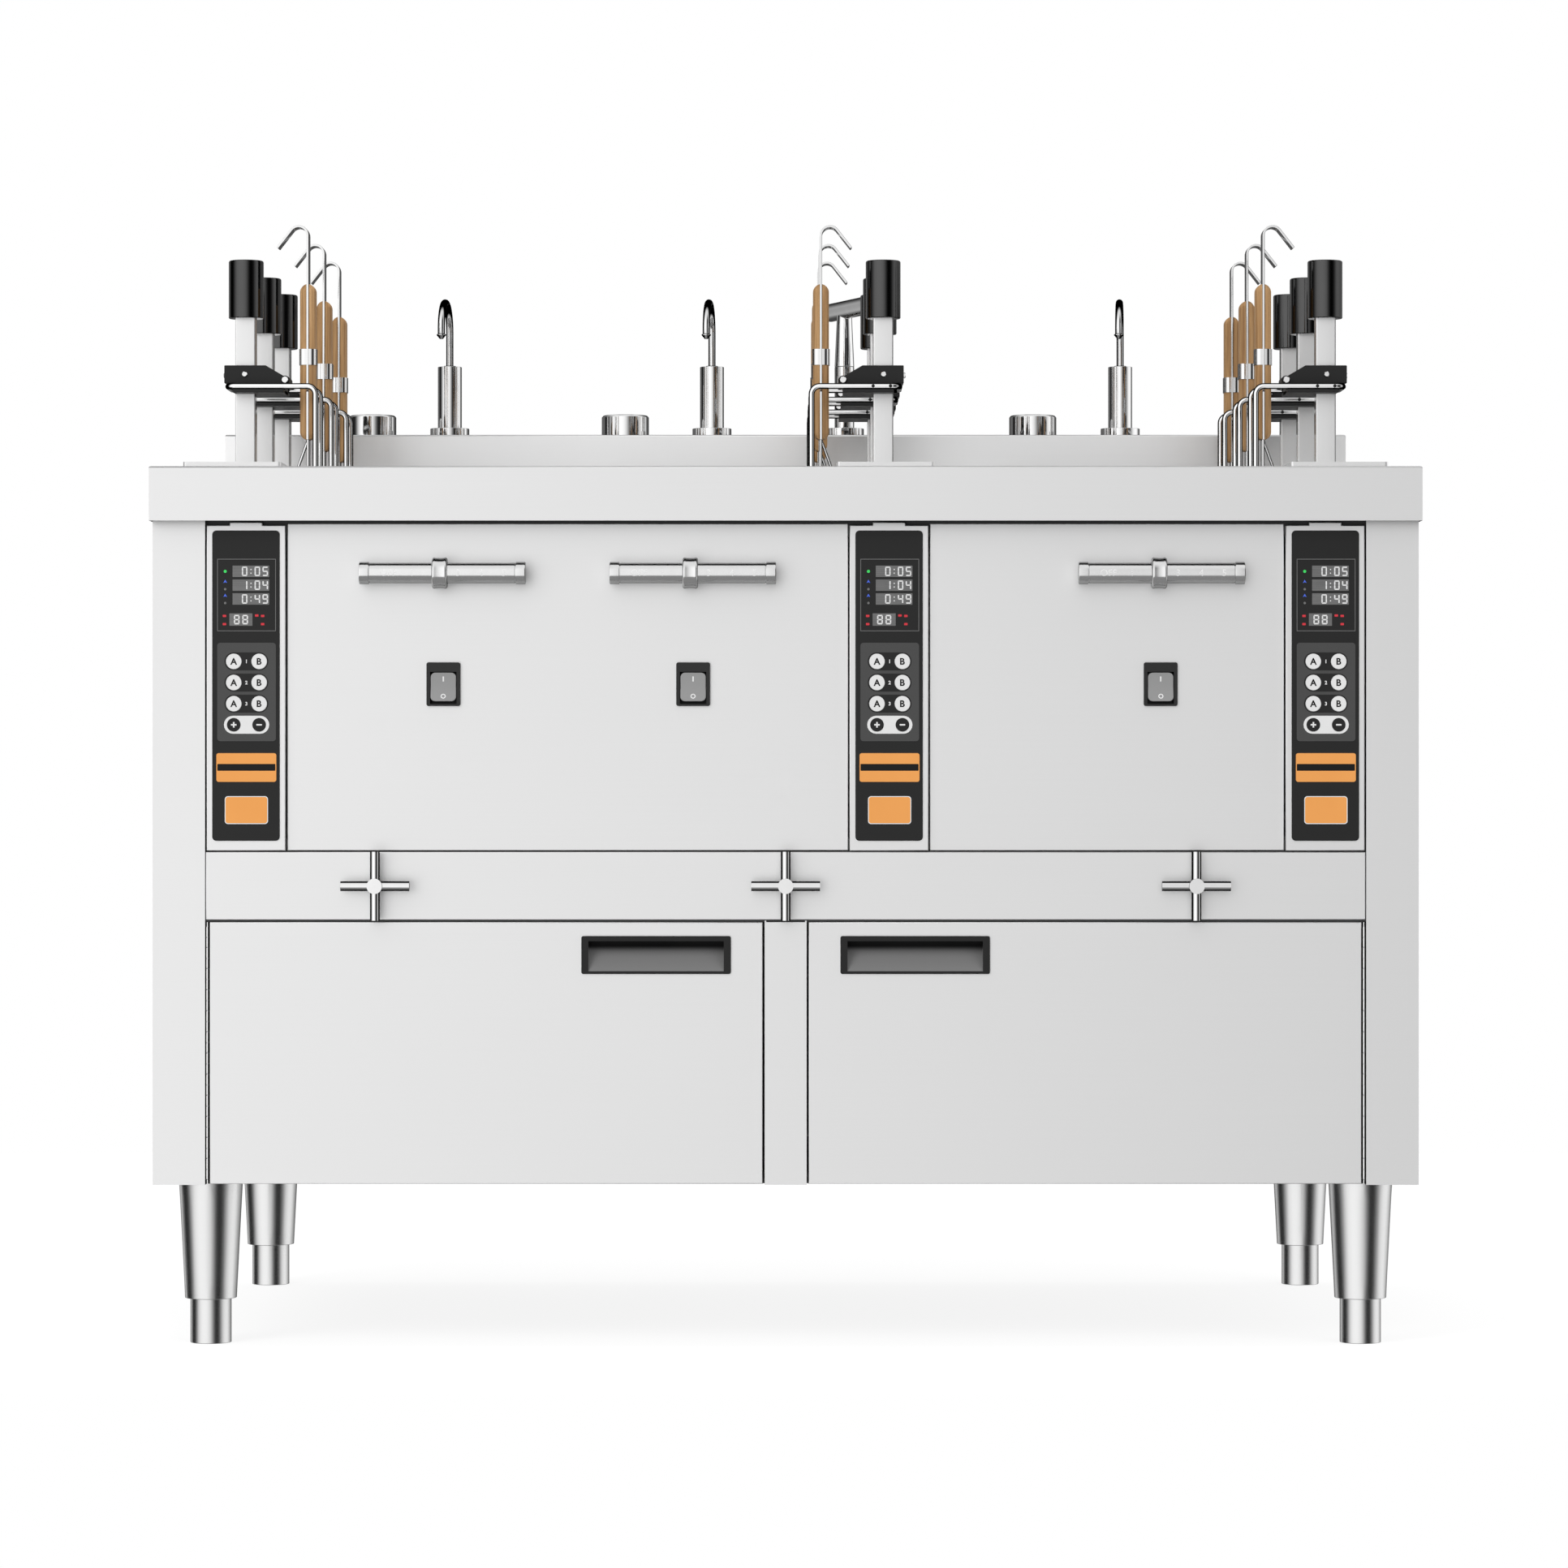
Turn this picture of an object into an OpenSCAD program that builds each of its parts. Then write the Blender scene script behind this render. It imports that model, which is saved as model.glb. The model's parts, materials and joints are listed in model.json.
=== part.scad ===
// Free-standing noodle cooker: three vats, nine basket lifts, a control front and a cupboard.
// X runs along the front, Y from front to back, Z up. The origin is on the floor, under the middle.

/* [Worktop] */
// Width of the worktop
worktop_w = 1240; // [1220:1:1300]
// Depth of the worktop
worktop_d = 750; // [740:1:790]
// Height of the worktop above the floor
worktop_h = 860; // [845:1:900]
// Height of the folded lip under the worktop edge
lip_h = 53; // [45:1:60]
// Gap between the lip and the front panels
lip_gap = 2; // [1:0.5:4]
// Thickness of the sheet steel
sheet = 1.5; // [1.2:0.1:2]
// Setback of the body's front from the worktop edge
front_setback = 17; // [12:1:22]
// Setback of the back panel from the worktop's rear edge
back_setback = 25; // [20:1:40]

/* [Cabinet] */
// Height of the cabinet's underside above the floor
leg_h = 159; // [145:1:170]
// Width of the stile at each end of the front
stile_w = 53; // [45:1:60]
// Depth of the folded returns
return_d = 20; // [18:1:26]
// Width of the post between the doors
post_w = 41; // [36:1:50]
// Height of the doors
door_h = 255.5; // [245:0.5:265]
// Depth of a door pan
door_t = 17; // [15:0.5:17.5]
// Gap round the doors
door_gap = 2; // [1.5:0.5:3]
// Height of the strip that carries the drain handles
strip_h = 66; // [60:1:75]
// Seam between neighbouring front panels
seam = 1.5; // [1:0.5:2.5]
// Width of a control column
column_w = 77; // [74:1:84]
// Middle of the middle control column
mid_column_x = 101; // [95:1:108]
// Width of the raised tab on top of a control column
column_tab_w = 32; // [24:1:40]
// Recess of the front panels behind the columns
panel_recess = 4.5; // [3:0.5:6]

/* [Hinges and pulls] */
// Radius of the piano hinge's barrel
barrel_r = 1.6; // [1.5:0.1:1.8]
// Radius of the hinge pin
hinge_pin_r = 0.8; // [0.7:0.05:0.9]
// Thickness of a hinge leaf
leaf_t = 0.6; // [0.5:0.1:0.8]
// Depth of a hinge leaf
leaf_d = 14; // [10:1:15]
// Pitch of the hinge knuckles
knuckle_pitch = 10.3; // [10:0.1:12]
// Width of a door pull's frame
pull_w = 146; // [130:1:160]
// Height of a door pull's frame
pull_h = 37; // [34:1:42]
// Distance from the door's free edge to its pull
pull_inset = 31; // [25:1:50]
// Distance from the door's top to its pull
pull_drop = 13.5; // [10:0.5:20]
// Depth of the pull's cup behind the door's face
pull_depth = 14; // [12:0.5:15]
// Thickness of the pull's frame in front of the door
pull_rim_t = 2; // [1.5:0.1:3]
// Wall of the pull's cup
pull_wall = 1.5; // [1.2:0.1:2]
// Width of a pull's rim at its sides
pull_side = 7; // [6:0.5:8]
// Width of a pull's rim along its top
pull_head = 5.1; // [4.6:0.1:6]
// Width of a pull's rim along its foot
pull_foot = 2.8; // [2.4:0.1:3.2]
// Height of the recess slope's upper end above the pull's middle
pull_slope = 6; // [4:0.5:8]

/* [Legs] */
// Distance of a leg's axis from the worktop's side
leg_inset = 53; // [50:1:70]
// Distance of the front legs from the worktop's front
leg_front = 72; // [70:1:100]
// Distance of the rear legs from the worktop's back
leg_back = 57; // [57:1:90]
// Top diameter of a leg socket
leg_top_d = 63; // [58:0.5:64]
// Bottom diameter of a leg socket
leg_low_d = 51; // [46:0.5:56]
// Diameter of a foot
foot_d = 40.6; // [36:0.2:44]
// Height of a foot below its socket
foot_h = 44; // [30:1:60]
// Radius of a foot's stem
foot_stem_r = 12; // [10:0.5:14]
// Length of a foot's stem
foot_stem_l = 55; // [40:1:65]

/* [Lifts] */
// Distance of the outer lift rows from the worktop's sides
station_inset = 78; // [74:1:86]
// Place of the middle lift row
mid_station_x = 98; // [92:1:104]
// Distance of the front lifts from the vats' front walls
lift_front = 90; // [85:1:95]
// Distance of the rear lifts from the vats' back walls
lift_rear = 80; // [76:1:85]
// Upward travel of a lift
travel = 180; // [120:5:190]
// Side of the square lift post
post_side = 20; // [18:0.5:22]
// Height of the cap's underside above the worktop
cap_rise = 158; // [145:1:170]
// Diameter of the cap
cap_d = 35; // [32:0.5:38]
// Height of the cap
cap_h = 58; // [50:1:65]
// Length of the post inside the cap
cap_grip = 35; // [25:1:40]
// Length of the post in its guide when fully raised
guide_grip = 45; // [35:1:55]
// Side of the guide tube below the worktop
guide_side = 34; // [30:1:38]
// Sliding clearance round the post
guide_clear = 0.3; // [0.2:0.05:0.4]
// Diameter of the lift motor
motor_d = 36; // [30:1:40]
// Length of the lift motor
motor_l = 95; // [70:1:100]
// Width of a deck plate
deck_w = 96; // [90:1:97]
// Thickness of a deck plate
deck_t = 6; // [4:0.5:8]
// Distance of a deck plate's front edge from the worktop's front
deck_front = 30; // [25:1:45]
// Distance of a deck plate's rear edge from the rear ledge
deck_gap = 22; // [15:1:40]

/* [Lift arms] */
// Height of the bracket's underside above the worktop
bracket_rise = 92; // [88:1:98]
// Height of the bracket
bracket_h = 18; // [16:0.5:20]
// Depth of the bracket
bracket_d = 34; // [32:1:40]
// Reach of the bracket on the outer side of the post
bracket_out = 20.4; // [16:0.1:24]
// Reach of the bracket on the vat side of the post
bracket_in = 40.5; // [36:0.5:42]
// Flat part of the bracket's top on the vat side
bracket_flat = 21; // [18:0.5:24]
// Thickness of the plate under the rods
saddle_t = 3.5; // [3:0.1:5]
// Radius of the cross pin
cross_pin_r = 3.3; // [2.5:0.1:3.5]
// Length of the cross pin
cross_pin_l = 42; // [40:1:50]
// Radius of the cradle rod
rod_r = 3; // [2.5:0.1:3.3]
// Distance between the two legs of the cradle rod
rod_gap = 56; // [52:1:60]
// Bend radius of the cradle rod
rod_bend = 8; // [7:0.5:10]
// Reach of the cradle's closed end on the outer side of the post
cradle_out = 16; // [14:0.5:20]
// Distance from the post to the hanging part of the cradle
cradle_drop_u = 72; // [71:0.5:76]
// Depth of the cradle's foot below the worktop
cradle_depth = 203; // [195:1:210]
// Length of the cradle's foot under the basket
cradle_foot = 113; // [100:1:120]
// Radius of a screw head on the bracket
screw_r = 2.75; // [2:0.25:3.5]
// Thickness of a screw head
screw_t = 2; // [1.5:0.1:2.5]

/* [Strainers] */
// Outer diameter of a basket
basket_d = 140; // [130:1:142]
// Height of a basket
basket_h = 150; // [130:1:155]
// Wall of a basket
basket_wall = 1.2; // [1:0.1:1.6]
// Inset of a basket's bottom edge
basket_taper = 10; // [6:1:16]
// Radius of the wire round the basket's rim
rim_r = 2; // [1.5:0.1:2.4]
// Distance from the post to the strainer's handle
handle_u = 62.5; // [62:0.5:64]
// Width of the wooden handle seen from the front
handle_w = 16; // [14:0.5:17]
// Depth of the wooden handle
handle_d = 20; // [18:0.5:24]
// Height of the handle's lower end above the worktop
handle_rise = 36; // [30:1:45]
// Length of the wooden handle
handle_l = 156; // [145:1:165]
// Height of the ferrule's lower edge above the worktop
ferrule_rise = 111; // [105:1:118]
// Height of the ferrule
ferrule_h = 16; // [12:0.5:20]
// Wall of the ferrule
ferrule_wall = 0.8; // [0.6:0.1:1]
// Thickness of the flat strap
strap_t = 2.2; // [1.8:0.1:2.6]
// How far the strap's edges stand out of the wood
strap_proud = 1; // [0.9:0.1:1.5]
// Height of the hook's bend above the worktop
hook_rise = 241; // [235:1:250]
// Bend radius of the hook
hook_r = 9; // [8:0.5:11]
// Angle that the hook turns through
hook_turn = 142; // [130:1:150]
// Length of the hook's straight end
hook_tip = 23; // [18:0.5:24]
// Radius of the wires under the handle
wire_r = 1.5; // [1.2:0.1:1.8]
// Distance between the two wires under the handle
wire_gap = 10; // [8:0.5:14]
// Lean of the prop wire
prop_lean = 20; // [15:1:22]

/* [Vats] */
// Inner width of a vat
vat_w = 254; // [245:1:256]
// Distance of the vats from the rear ledge
vat_gap = 12; // [9:0.5:16]
// Inner depth of a vat
vat_depth = 230; // [225:1:240]
// Corner radius of a vat
vat_r = 20; // [15:1:25]
// Rim of a vat on the worktop
vat_rim = 5; // [4:0.5:5]
// Distance from the lift row to the near wall of its vat
vat_u = 54; // [53.5:0.5:56]
// Distance of the vats from the worktop's front
vat_front = 80; // [76:1:90]
// Clearance round a vat in its opening
vat_clear = 0.5; // [0.3:0.1:0.8]

/* [Rear ledge and taps] */
// Depth of the rear ledge
ledge_d = 108; // [100:1:112]
// Height of the rear ledge
ledge_h = 72; // [68:1:90]
// Inset of the ledge from each side of the worktop
ledge_inset = 8; // [4:1:14]
// Distances of the taps from their lift rows
tap_u = [172, 179, 173]; // [165:1:185]
// Distances of the knobs from their taps
knob_offset = [85, 95.5, 96.4]; // [80:0.5:100]
// Distance of the tap axes from the ledge's front
tap_back = 54; // [50:1:58]
// Diameter of a tap's flange
tap_flange_d = 43; // [38:0.5:46]
// Height of a tap's flange
tap_flange_h = 10; // [6:0.5:12]
// Diameter of a tap's body
tap_body_d = 26.4; // [24:0.2:30]
// Height of a tap's body above the ledge
tap_body_h = 78; // [70:1:85]
// Radius of the shank under each tap
shank_r = 8; // [7:0.5:9]
// Radius of the stem that a spout turns on
spout_stem_r = 7; // [6:0.25:7.5]
// Length of the stem that a spout turns on
spout_stem_l = 17; // [12:1:20]
// Radius of the gooseneck tube
neck_r = 4; // [3.5:0.1:4.5]
// Bend radius of the gooseneck
neck_bend = 31; // [26:0.5:33]
// Height of the gooseneck's straight part
neck_rise = 37; // [30:1:42]
// Length of the spout's nozzle
nozzle_l = 11; // [8:0.5:14]
// Radius of the spout's nozzle
nozzle_r = 5.2; // [4.6:0.1:6]
// Turn of the gooseneck spouts at rest
neck_turn = -5; // [-10:1:0]
// Diameter of a knob
knob_d = 52; // [46:1:56]
// Height of a knob
knob_h = 24; // [20:0.5:28]
// Radius of a knob's shaft
knob_shaft_r = 6; // [5:0.5:7]
// Place of the large tap along the ledge
filler_x = 65; // [60:1:72]
// Diameter of the large tap's column
filler_d = 21.6; // [20:0.2:24]
// Diameter of the large tap's neck under its barrel
filler_neck_d = 16; // [15:0.5:18]
// Height of the large tap's barrel above the ledge
filler_rise = 141; // [135:1:148]
// Radius of the large tap's barrel
filler_barrel_r = 10; // [9:0.25:11]
// Length of the barrel in front of the column
filler_front = 80; // [70:1:84]
// Length of the barrel behind the column
filler_rear = 40; // [30:1:45]
// Turn of the barrel at rest
filler_turn = 22; // [15:1:30]
// Length of the barrel's outlet
outlet_l = 22; // [18:0.5:26]

/* [Controls] */
// Distances of the slide bars and switches from their lift rows
control_u = [207.6, 188.4, 175.6]; // [165:1:215]
// Height of the slide bars below the worktop
bar_drop = 104; // [98:1:110]
// Length of a slide bar
bar_l = 162; // [150:1:170]
// Radius of a slide bar
bar_r = 10; // [9:0.25:11]
// Radius of a slide bar's end cap
bar_cap_r = 10.85; // [10:0.05:11.5]
// Length of a slide bar's end cap
bar_cap_l = 9.5; // [7:0.5:10]
// Distance of a slide bar's axis from its panel
bar_stand = 16.3; // [16:0.1:20]
// Radius of the standoffs that carry a slide bar
standoff_r = 4.5; // [3.5:0.25:4.5]
// Radius of a slide ring
ring_r = 15.3; // [14.5:0.1:15.5]
// Width of a slide ring
ring_w = 15; // [12:0.5:16]
// Offset of the slide rings from the middle of their bars at rest
ring_offset = -2.6; // [-4:0.2:4]
// Running clearance on shafts, stems and pins
run_clear = 0.06; // [0.04:0.01:0.08]
// Height of the switches below the worktop
switch_drop = 212; // [205:1:220]
// Width of a switch frame
switch_w = 33; // [32:0.5:36]
// Height of a switch frame
switch_h = 42.6; // [42:0.2:46]
// Thickness of a switch frame in front of its panel
switch_t = 3; // [2.5:0.1:4]
// Depth of a switch body behind its panel
switch_depth = 20; // [18:0.5:24]
// Depth of the key's pocket behind the panel
pocket_depth = 14; // [13:0.5:16]
// Width of a switch key
key_w = 25; // [23:0.5:25]
// Height of a switch key
key_h = 28.4; // [26:0.2:29]
// Drop of the switch key's middle below its frame's middle
key_drop = 3.6; // [2:0.2:3.6]
// Tilt of a switch key either way
key_tilt = 7; // [5:0.5:8]
// Width of a keypad
keypad_w = 65.8; // [60:0.2:70]
// Height of a keypad
keypad_h = 303; // [290:1:306]
// Drop of a keypad's top below the top of its column
keypad_drop = 7; // [5:0.5:10]
// Thickness of a keypad
keypad_t = 1.2; // [0.8:0.1:2]
// Corner radius of a keypad
keypad_r = 4; // [3:0.5:6]

/* [Drains and inside] */
// Distances of the drain valves from their lift rows
valve_u = [142, 98, 142]; // [95:1:150]
// Length of a cross handle's arms, end to end
cross_l = 67; // [60:1:67]
// Radius of a cross handle's arms
cross_r = 4.75; // [4:0.05:5]
// Radius of a cross handle's hub
hub_r = 7.5; // [6.5:0.1:9]
// Length of a cross handle's hub
hub_l = 18; // [14:0.5:20]
// Gap between a cross handle's hub and the strip
hub_gap = 6; // [4:0.5:8]
// Radius of a drain valve's stem
stem_r = 5; // [4:0.1:5.5]
// Distance of the drains from the front of their vats
drain_back = 45; // [40:1:60]
// Radius of a drain pipe
pipe_r = 17; // [15:0.5:18]
// Wall of the drain pipes
pipe_wall = 3; // [2:0.5:4]
// Radius of a drain valve's body
valve_r = 24; // [22:0.5:27]
// Radius of the common drain pipe
main_pipe_r = 20; // [19:0.5:22]
// Distance of the common drain pipe from the back panel
main_pipe_back = 45; // [40:1:60]
// How far the drain outlet stands out behind the back panel
outlet_out = 30; // [25:1:34]
// Width of a coil tray
coil_w = 220; // [180:1:230]
// Distance of a coil tray from the front wall of its vat
coil_front = 120; // [110:1:150]
// Distance of a coil tray from the back wall of its vat
coil_rear = 30; // [20:1:60]
// Height of a coil tray
coil_h = 26; // [20:1:32]
// Width of a power box
box_w = 200; // [160:1:220]
// Depth of a power box
box_d = 300; // [240:1:310]
// Height of a power box
box_h = 115; // [90:1:130]
// Wall of a power box
box_wall = 4; // [2:0.5:6]
// Distance of a power box from the back panel
box_back = 70; // [70:1:90]
// Radius of the water pipe under the ledge
water_r = 9; // [8:0.5:10]
// Height of the water pipe above the worktop
water_rise = 35; // [30:1:40]
// Radius of the water inlet
inlet_r = 10.5; // [10:0.1:11]
// How far the water inlet stands out behind the ledge
inlet_out = 14; // [12:1:16]
// Place of the water inlet
inlet_x = -250; // [-300:5:-200]
// Place of the cable gland across the back panel
gland_x = -510; // [-540:5:-480]
// Height of the cable gland above the cabinet's underside
gland_rise = 95; // [80:5:150]
// Radius of the cable gland's thread
gland_r = 9; // [8:0.5:10]
// Length of the cable gland inside the back panel
gland_in = 8; // [6:0.5:12]
// Length of the cable gland behind the back panel
gland_out = 16; // [12:0.5:20]

/* [Hidden] */
$fn = 48;
side_names = ["left", "mid", "right"];
row_names = ["front", "middle", "rear"];
rows = [0, 1, 2];
sides = [0, 1, 2];
seat = 0.1;
clear = 0.4;
steel = "Gainsboro";
bright = "Silver";
black = "#151515";

half_w = worktop_w / 2;
front_y = -worktop_d / 2;
body_y = front_y + front_setback;
back_y = worktop_d / 2 - back_setback;
body_x = half_w - sheet - sheet / 6;
top_z = worktop_h - sheet;
stile_x = half_w - stile_w;
post_x = post_w / 2;
door_z = leg_h + door_gap / 2;
rail_z = door_z + door_h + door_gap / 4;
strip_z = rail_z + door_gap;
panel_z = strip_z + strip_h + seam;
panel_top = worktop_h - lip_h - lip_gap;
panel_y = body_y + panel_recess;
rail_y = panel_y + sheet;
hinge_gap = 2 * (barrel_r + seat + leaf_t);
hinge_x = stile_x - hinge_gap / 2;
hinge_y = body_y + barrel_r * 0.6;
door_edge = stile_x - hinge_gap;
knuckles = floor(door_h / knuckle_pitch);
knuckle_l = knuckle_pitch - 0.3;
column_edge = stile_x - seam;
column_xs = [-(column_edge - column_w / 2), mid_column_x, column_edge - column_w / 2];

station_x = [-(half_w - station_inset), mid_station_x, half_w - station_inset];
inward = [1, -1, -1];
vat_l = worktop_d - vat_front - vat_gap - ledge_d;
deck_l = worktop_d - deck_front - deck_gap - ledge_d;
coil_l = vat_l - coil_front - coil_rear;
lift_pitch = (vat_l - lift_front - lift_rear) / 2;
function lift_y(row) = front_y + vat_front + lift_front + row * lift_pitch;
function along(side, u) = station_x[side] + inward[side] * u;
post_top = worktop_h + cap_rise + cap_grip;
post_bottom = top_z - travel - guide_grip;
guide_bottom = post_bottom - 10;
guide_bore = post_side + 2 * guide_clear;
bracket_z = worktop_h + bracket_rise;
rod_z = bracket_z - rod_r - 0.7;
saddle_z = rod_z - rod_r - seat - saddle_t;
cradle_z = worktop_h - cradle_depth;
rod_v = rod_gap / 2;
rim_out = basket_d / 2 - basket_wall / 2 + rim_r;
basket_u = cradle_drop_u + sqrt(pow(rim_out + rod_r + clear, 2) - pow(rod_v, 2));
basket_z = cradle_z + rod_r + 0.3;
rim_z = basket_z + basket_h;
handle_z = worktop_h + handle_rise;
strap_w = handle_d + 2 * strap_proud;
hook_z = worktop_h + hook_rise;
hook_steps = 18;
vat_mid_y = front_y + vat_front + vat_l / 2;
vat_floor = worktop_h - vat_depth;
ledge_y = worktop_d / 2 - ledge_d;
ledge_top = worktop_h + ledge_h;
tap_y = ledge_y + tap_back;
function tap_x(side) = along(side, tap_u[side]);
function knob_x(side) = tap_x(side) - knob_offset[side];
water_z = worktop_h + water_rise;
shank_end = water_z + water_r + seat;
tap_top = ledge_top + tap_body_h;
bar_y = panel_y - bar_stand;
bar_z = worktop_h - bar_drop;
switch_z = worktop_h - switch_drop;
key_z = switch_z - key_drop;
pivot_y = panel_y + 3;
valve_z = strip_z + strip_h / 2;
valve_y = front_y + vat_front + drain_back;
bonnet_y = valve_y - valve_r - 14;
main_pipe_y = back_y - main_pipe_back;
pipe_bore = pipe_r - pipe_wall;
outlet_x = along(2, valve_u[2]);
pan_z = leg_h + sheet;

// A flat rectangle with round corners, centred on the origin
module round_rect(w, h, r) {
    square([w - 2 * r, h], center = true);
    square([w, h - 2 * r], center = true);
    for (x = [-1, 1], y = [-1, 1])
        translate([x * (w / 2 - r), y * (h / 2 - r)]) circle(r);
}

// A box from its lowest corner to its highest
module block(low, high) {
    translate(low) cube(high - low);
}

// Cylinders that run along X, along Y or up, from a start point
module rod_x(start, length, r) {
    translate(start) rotate([0, 90, 0]) cylinder(h = length, r = r);
}
module rod_y(start, length, r) {
    translate(start) rotate([-90, 0, 0]) cylinder(h = length, r = r);
}
module rod_up(start, length, r) {
    translate(start) cylinder(h = length, r = r);
}

// A round bar bent through a right angle, flat on the floor about the origin
module elbow(bend, r) {
    rotate_extrude(angle = 90) translate([bend, 0]) circle(r);
}

// The frame of one lift: X runs from its post towards the vat
module at_lift(side, row) {
    translate([station_x[side], lift_y(row), 0])
        rotate([0, 0, inward[side] > 0 ? 0 : 180]) children();
}

// A front upright seen in X and Z, extruded along Y between two depths
module front_plate(y0, y1) {
    translate([0, y1, 0]) rotate([90, 0, 0]) linear_extrude(y1 - y0) children();
}

// Worktop and cabinet
module vat_outline(grow) {
    for (side = sides)
        translate([along(side, vat_u + vat_w / 2), vat_mid_y])
            round_rect(vat_w + 2 * grow, vat_l + 2 * grow, vat_r + grow);
}

module worktop() color(steel) {
    difference() {
        block([-half_w, front_y, worktop_h - lip_h], [half_w, -front_y, worktop_h]);
        block([-half_w + sheet, front_y + sheet, worktop_h - lip_h - 1],
              [half_w - sheet, -front_y - sheet, top_z]);
        translate([0, 0, top_z - 1]) linear_extrude(sheet + 2) vat_outline(sheet + vat_clear);
        for (side = sides, row = rows)
            at_lift(side, row)
                translate([0, 0, top_z]) cube([post_side + 4, post_side + 4, 4 * sheet], center = true);
    }
}

module rear_ledge() color(steel) {
    x = half_w - ledge_inset;
    difference() {
        block([-x, ledge_y, worktop_h], [x, worktop_d / 2, ledge_top]);
        block([-x + sheet, ledge_y + sheet, worktop_h - 1],
              [x - sheet, worktop_d / 2 - sheet, ledge_top - sheet]);
        for (side = sides) {
            rod_up([tap_x(side), tap_y, ledge_top - 2 * sheet], 4 * sheet, shank_r + seat);
            rod_up([knob_x(side), tap_y, ledge_top - 2 * sheet], 4 * sheet, knob_shaft_r + run_clear);
        }
        rod_up([filler_x, tap_y, ledge_top - 2 * sheet], 4 * sheet, shank_r + seat);
        rod_y([inlet_x, worktop_d / 2 - 2 * sheet, water_z], 4 * sheet, inlet_r + seat);
    }
}

module side_panel() {
    block([body_x - sheet, body_y, leg_h], [body_x, back_y, top_z]);
    block([stile_x, body_y, leg_h], [body_x, body_y + sheet, top_z]);
    block([stile_x, body_y, leg_h], [stile_x + sheet, body_y + return_d, top_z]);
    block([body_x - return_d, back_y - sheet, leg_h], [body_x, back_y, top_z]);
}

module side_panels() color(steel) {
    side_panel();
    mirror([1, 0, 0]) side_panel();
}

// Base pan, centre post, rails and door catches, welded together
module chassis() color(steel) {
    x = body_x - sheet;
    pan_y = body_y + return_d + 1;
    difference() {
        union() {
            block([-x, pan_y, leg_h], [x, back_y - sheet, pan_z]);
            block([-stile_x + 3, pan_y, leg_h], [stile_x - 3, pan_y + sheet, leg_h + 12]);
            block([-post_x, body_y, leg_h], [post_x, pan_y + sheet, pan_z]);
            block([-post_x, body_y, leg_h], [post_x, body_y + sheet, rail_z - 0.5]);
            for (m = [-1, 1])
                block([m * (post_x - sheet / 2) - sheet / 2, body_y, leg_h],
                      [m * (post_x - sheet / 2) + sheet / 2, body_y + return_d, rail_z + 1]);
            block([-stile_x, body_y + sheet, rail_z], [stile_x, body_y + 2 * sheet, strip_z + strip_h]);
            block([-stile_x, body_y + sheet, strip_z + 10], [stile_x, rail_y + sheet, strip_z + 10 + sheet]);
            block([-stile_x, rail_y, strip_z + 10], [stile_x, rail_y + sheet, panel_z + 12]);
            block([-stile_x, rail_y, panel_top - 12], [stile_x, rail_y + sheet, top_z]);
            for (m = [-1, 1])
                block([m * (post_x + 10) - 11, body_y + door_t + 1, rail_z - 14],
                      [m * (post_x + 10) + 11, body_y + door_t + 2, rail_z]);
        }
        for (side = sides)
            rod_y([along(side, valve_u[side]), body_y - 1, valve_z], return_d, stem_r + 1);
    }
}

module back_panel() color(steel) {
    x = body_x - 2;
    difference() {
        block([-x, back_y, leg_h + 1], [x, back_y + sheet, top_z - 3]);
        rod_y([outlet_x, back_y - 1, valve_z], sheet + 2, pipe_r + seat);
        rod_y([gland_x, back_y - 1, leg_h + gland_rise], sheet + 2, gland_r + seat);
    }
}

module front_panel(x0, x1) {
    block([x0, panel_y, panel_z], [x1, panel_y + sheet, panel_top]);
}

module front_panels() color(steel)
    difference() {
        union() {
            front_panel(column_xs[0] + column_w / 2 + seam, column_xs[1] - column_w / 2 - seam);
            front_panel(column_xs[1] + column_w / 2 + seam, column_xs[2] - column_w / 2 - seam);
        }
        for (side = sides)
            front_plate(panel_y - 1, panel_y + sheet + 1)
                translate([along(side, control_u[side]), switch_z])
                    square([switch_w - 3 + 2 * seat, switch_h - 3 + 2 * seat], center = true);
    }

module control_columns() color(steel)
    for (x = column_xs) {
        left = x - column_w / 2;
        right = x + column_w / 2;
        difference() {
            union() {
                block([left, body_y, panel_z], [right, rail_y, panel_top - 2]);
                block([x - column_tab_w / 2, body_y, panel_z],
                      [x + column_tab_w / 2, body_y + sheet, panel_top + 1]);
            }
            block([left + sheet, body_y + sheet, panel_z + sheet],
                  [right - sheet, rail_y + 1, panel_top - 2 - sheet]);
        }
    }

module keypads() color(black)
    for (x = column_xs)
        front_plate(body_y - keypad_t, body_y)
            translate([x, panel_top - keypad_drop - keypad_h / 2]) round_rect(keypad_w, keypad_h, keypad_r);

module valve_strip() color(steel)
    difference() {
        block([-stile_x + seam / 2, body_y, strip_z],
              [stile_x - seam / 2, body_y + sheet, strip_z + strip_h]);
        for (side = sides)
            rod_y([along(side, valve_u[side]), body_y - 1, valve_z], sheet + 2, stem_r + 1);
    }

// Doors, hinges and pulls, drawn for the right-hand side
module hinge_knuckle(index, web) {
    z = door_z + (door_h - knuckles * knuckle_pitch) / 2 + index * knuckle_pitch;
    rod_up([hinge_x, hinge_y, z], knuckle_l, barrel_r);
    block([min(hinge_x, hinge_x + web), hinge_y + 0.2, z],
          [max(hinge_x, hinge_x + web), hinge_y + barrel_r - 0.1, z + knuckle_l]);
}

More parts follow.
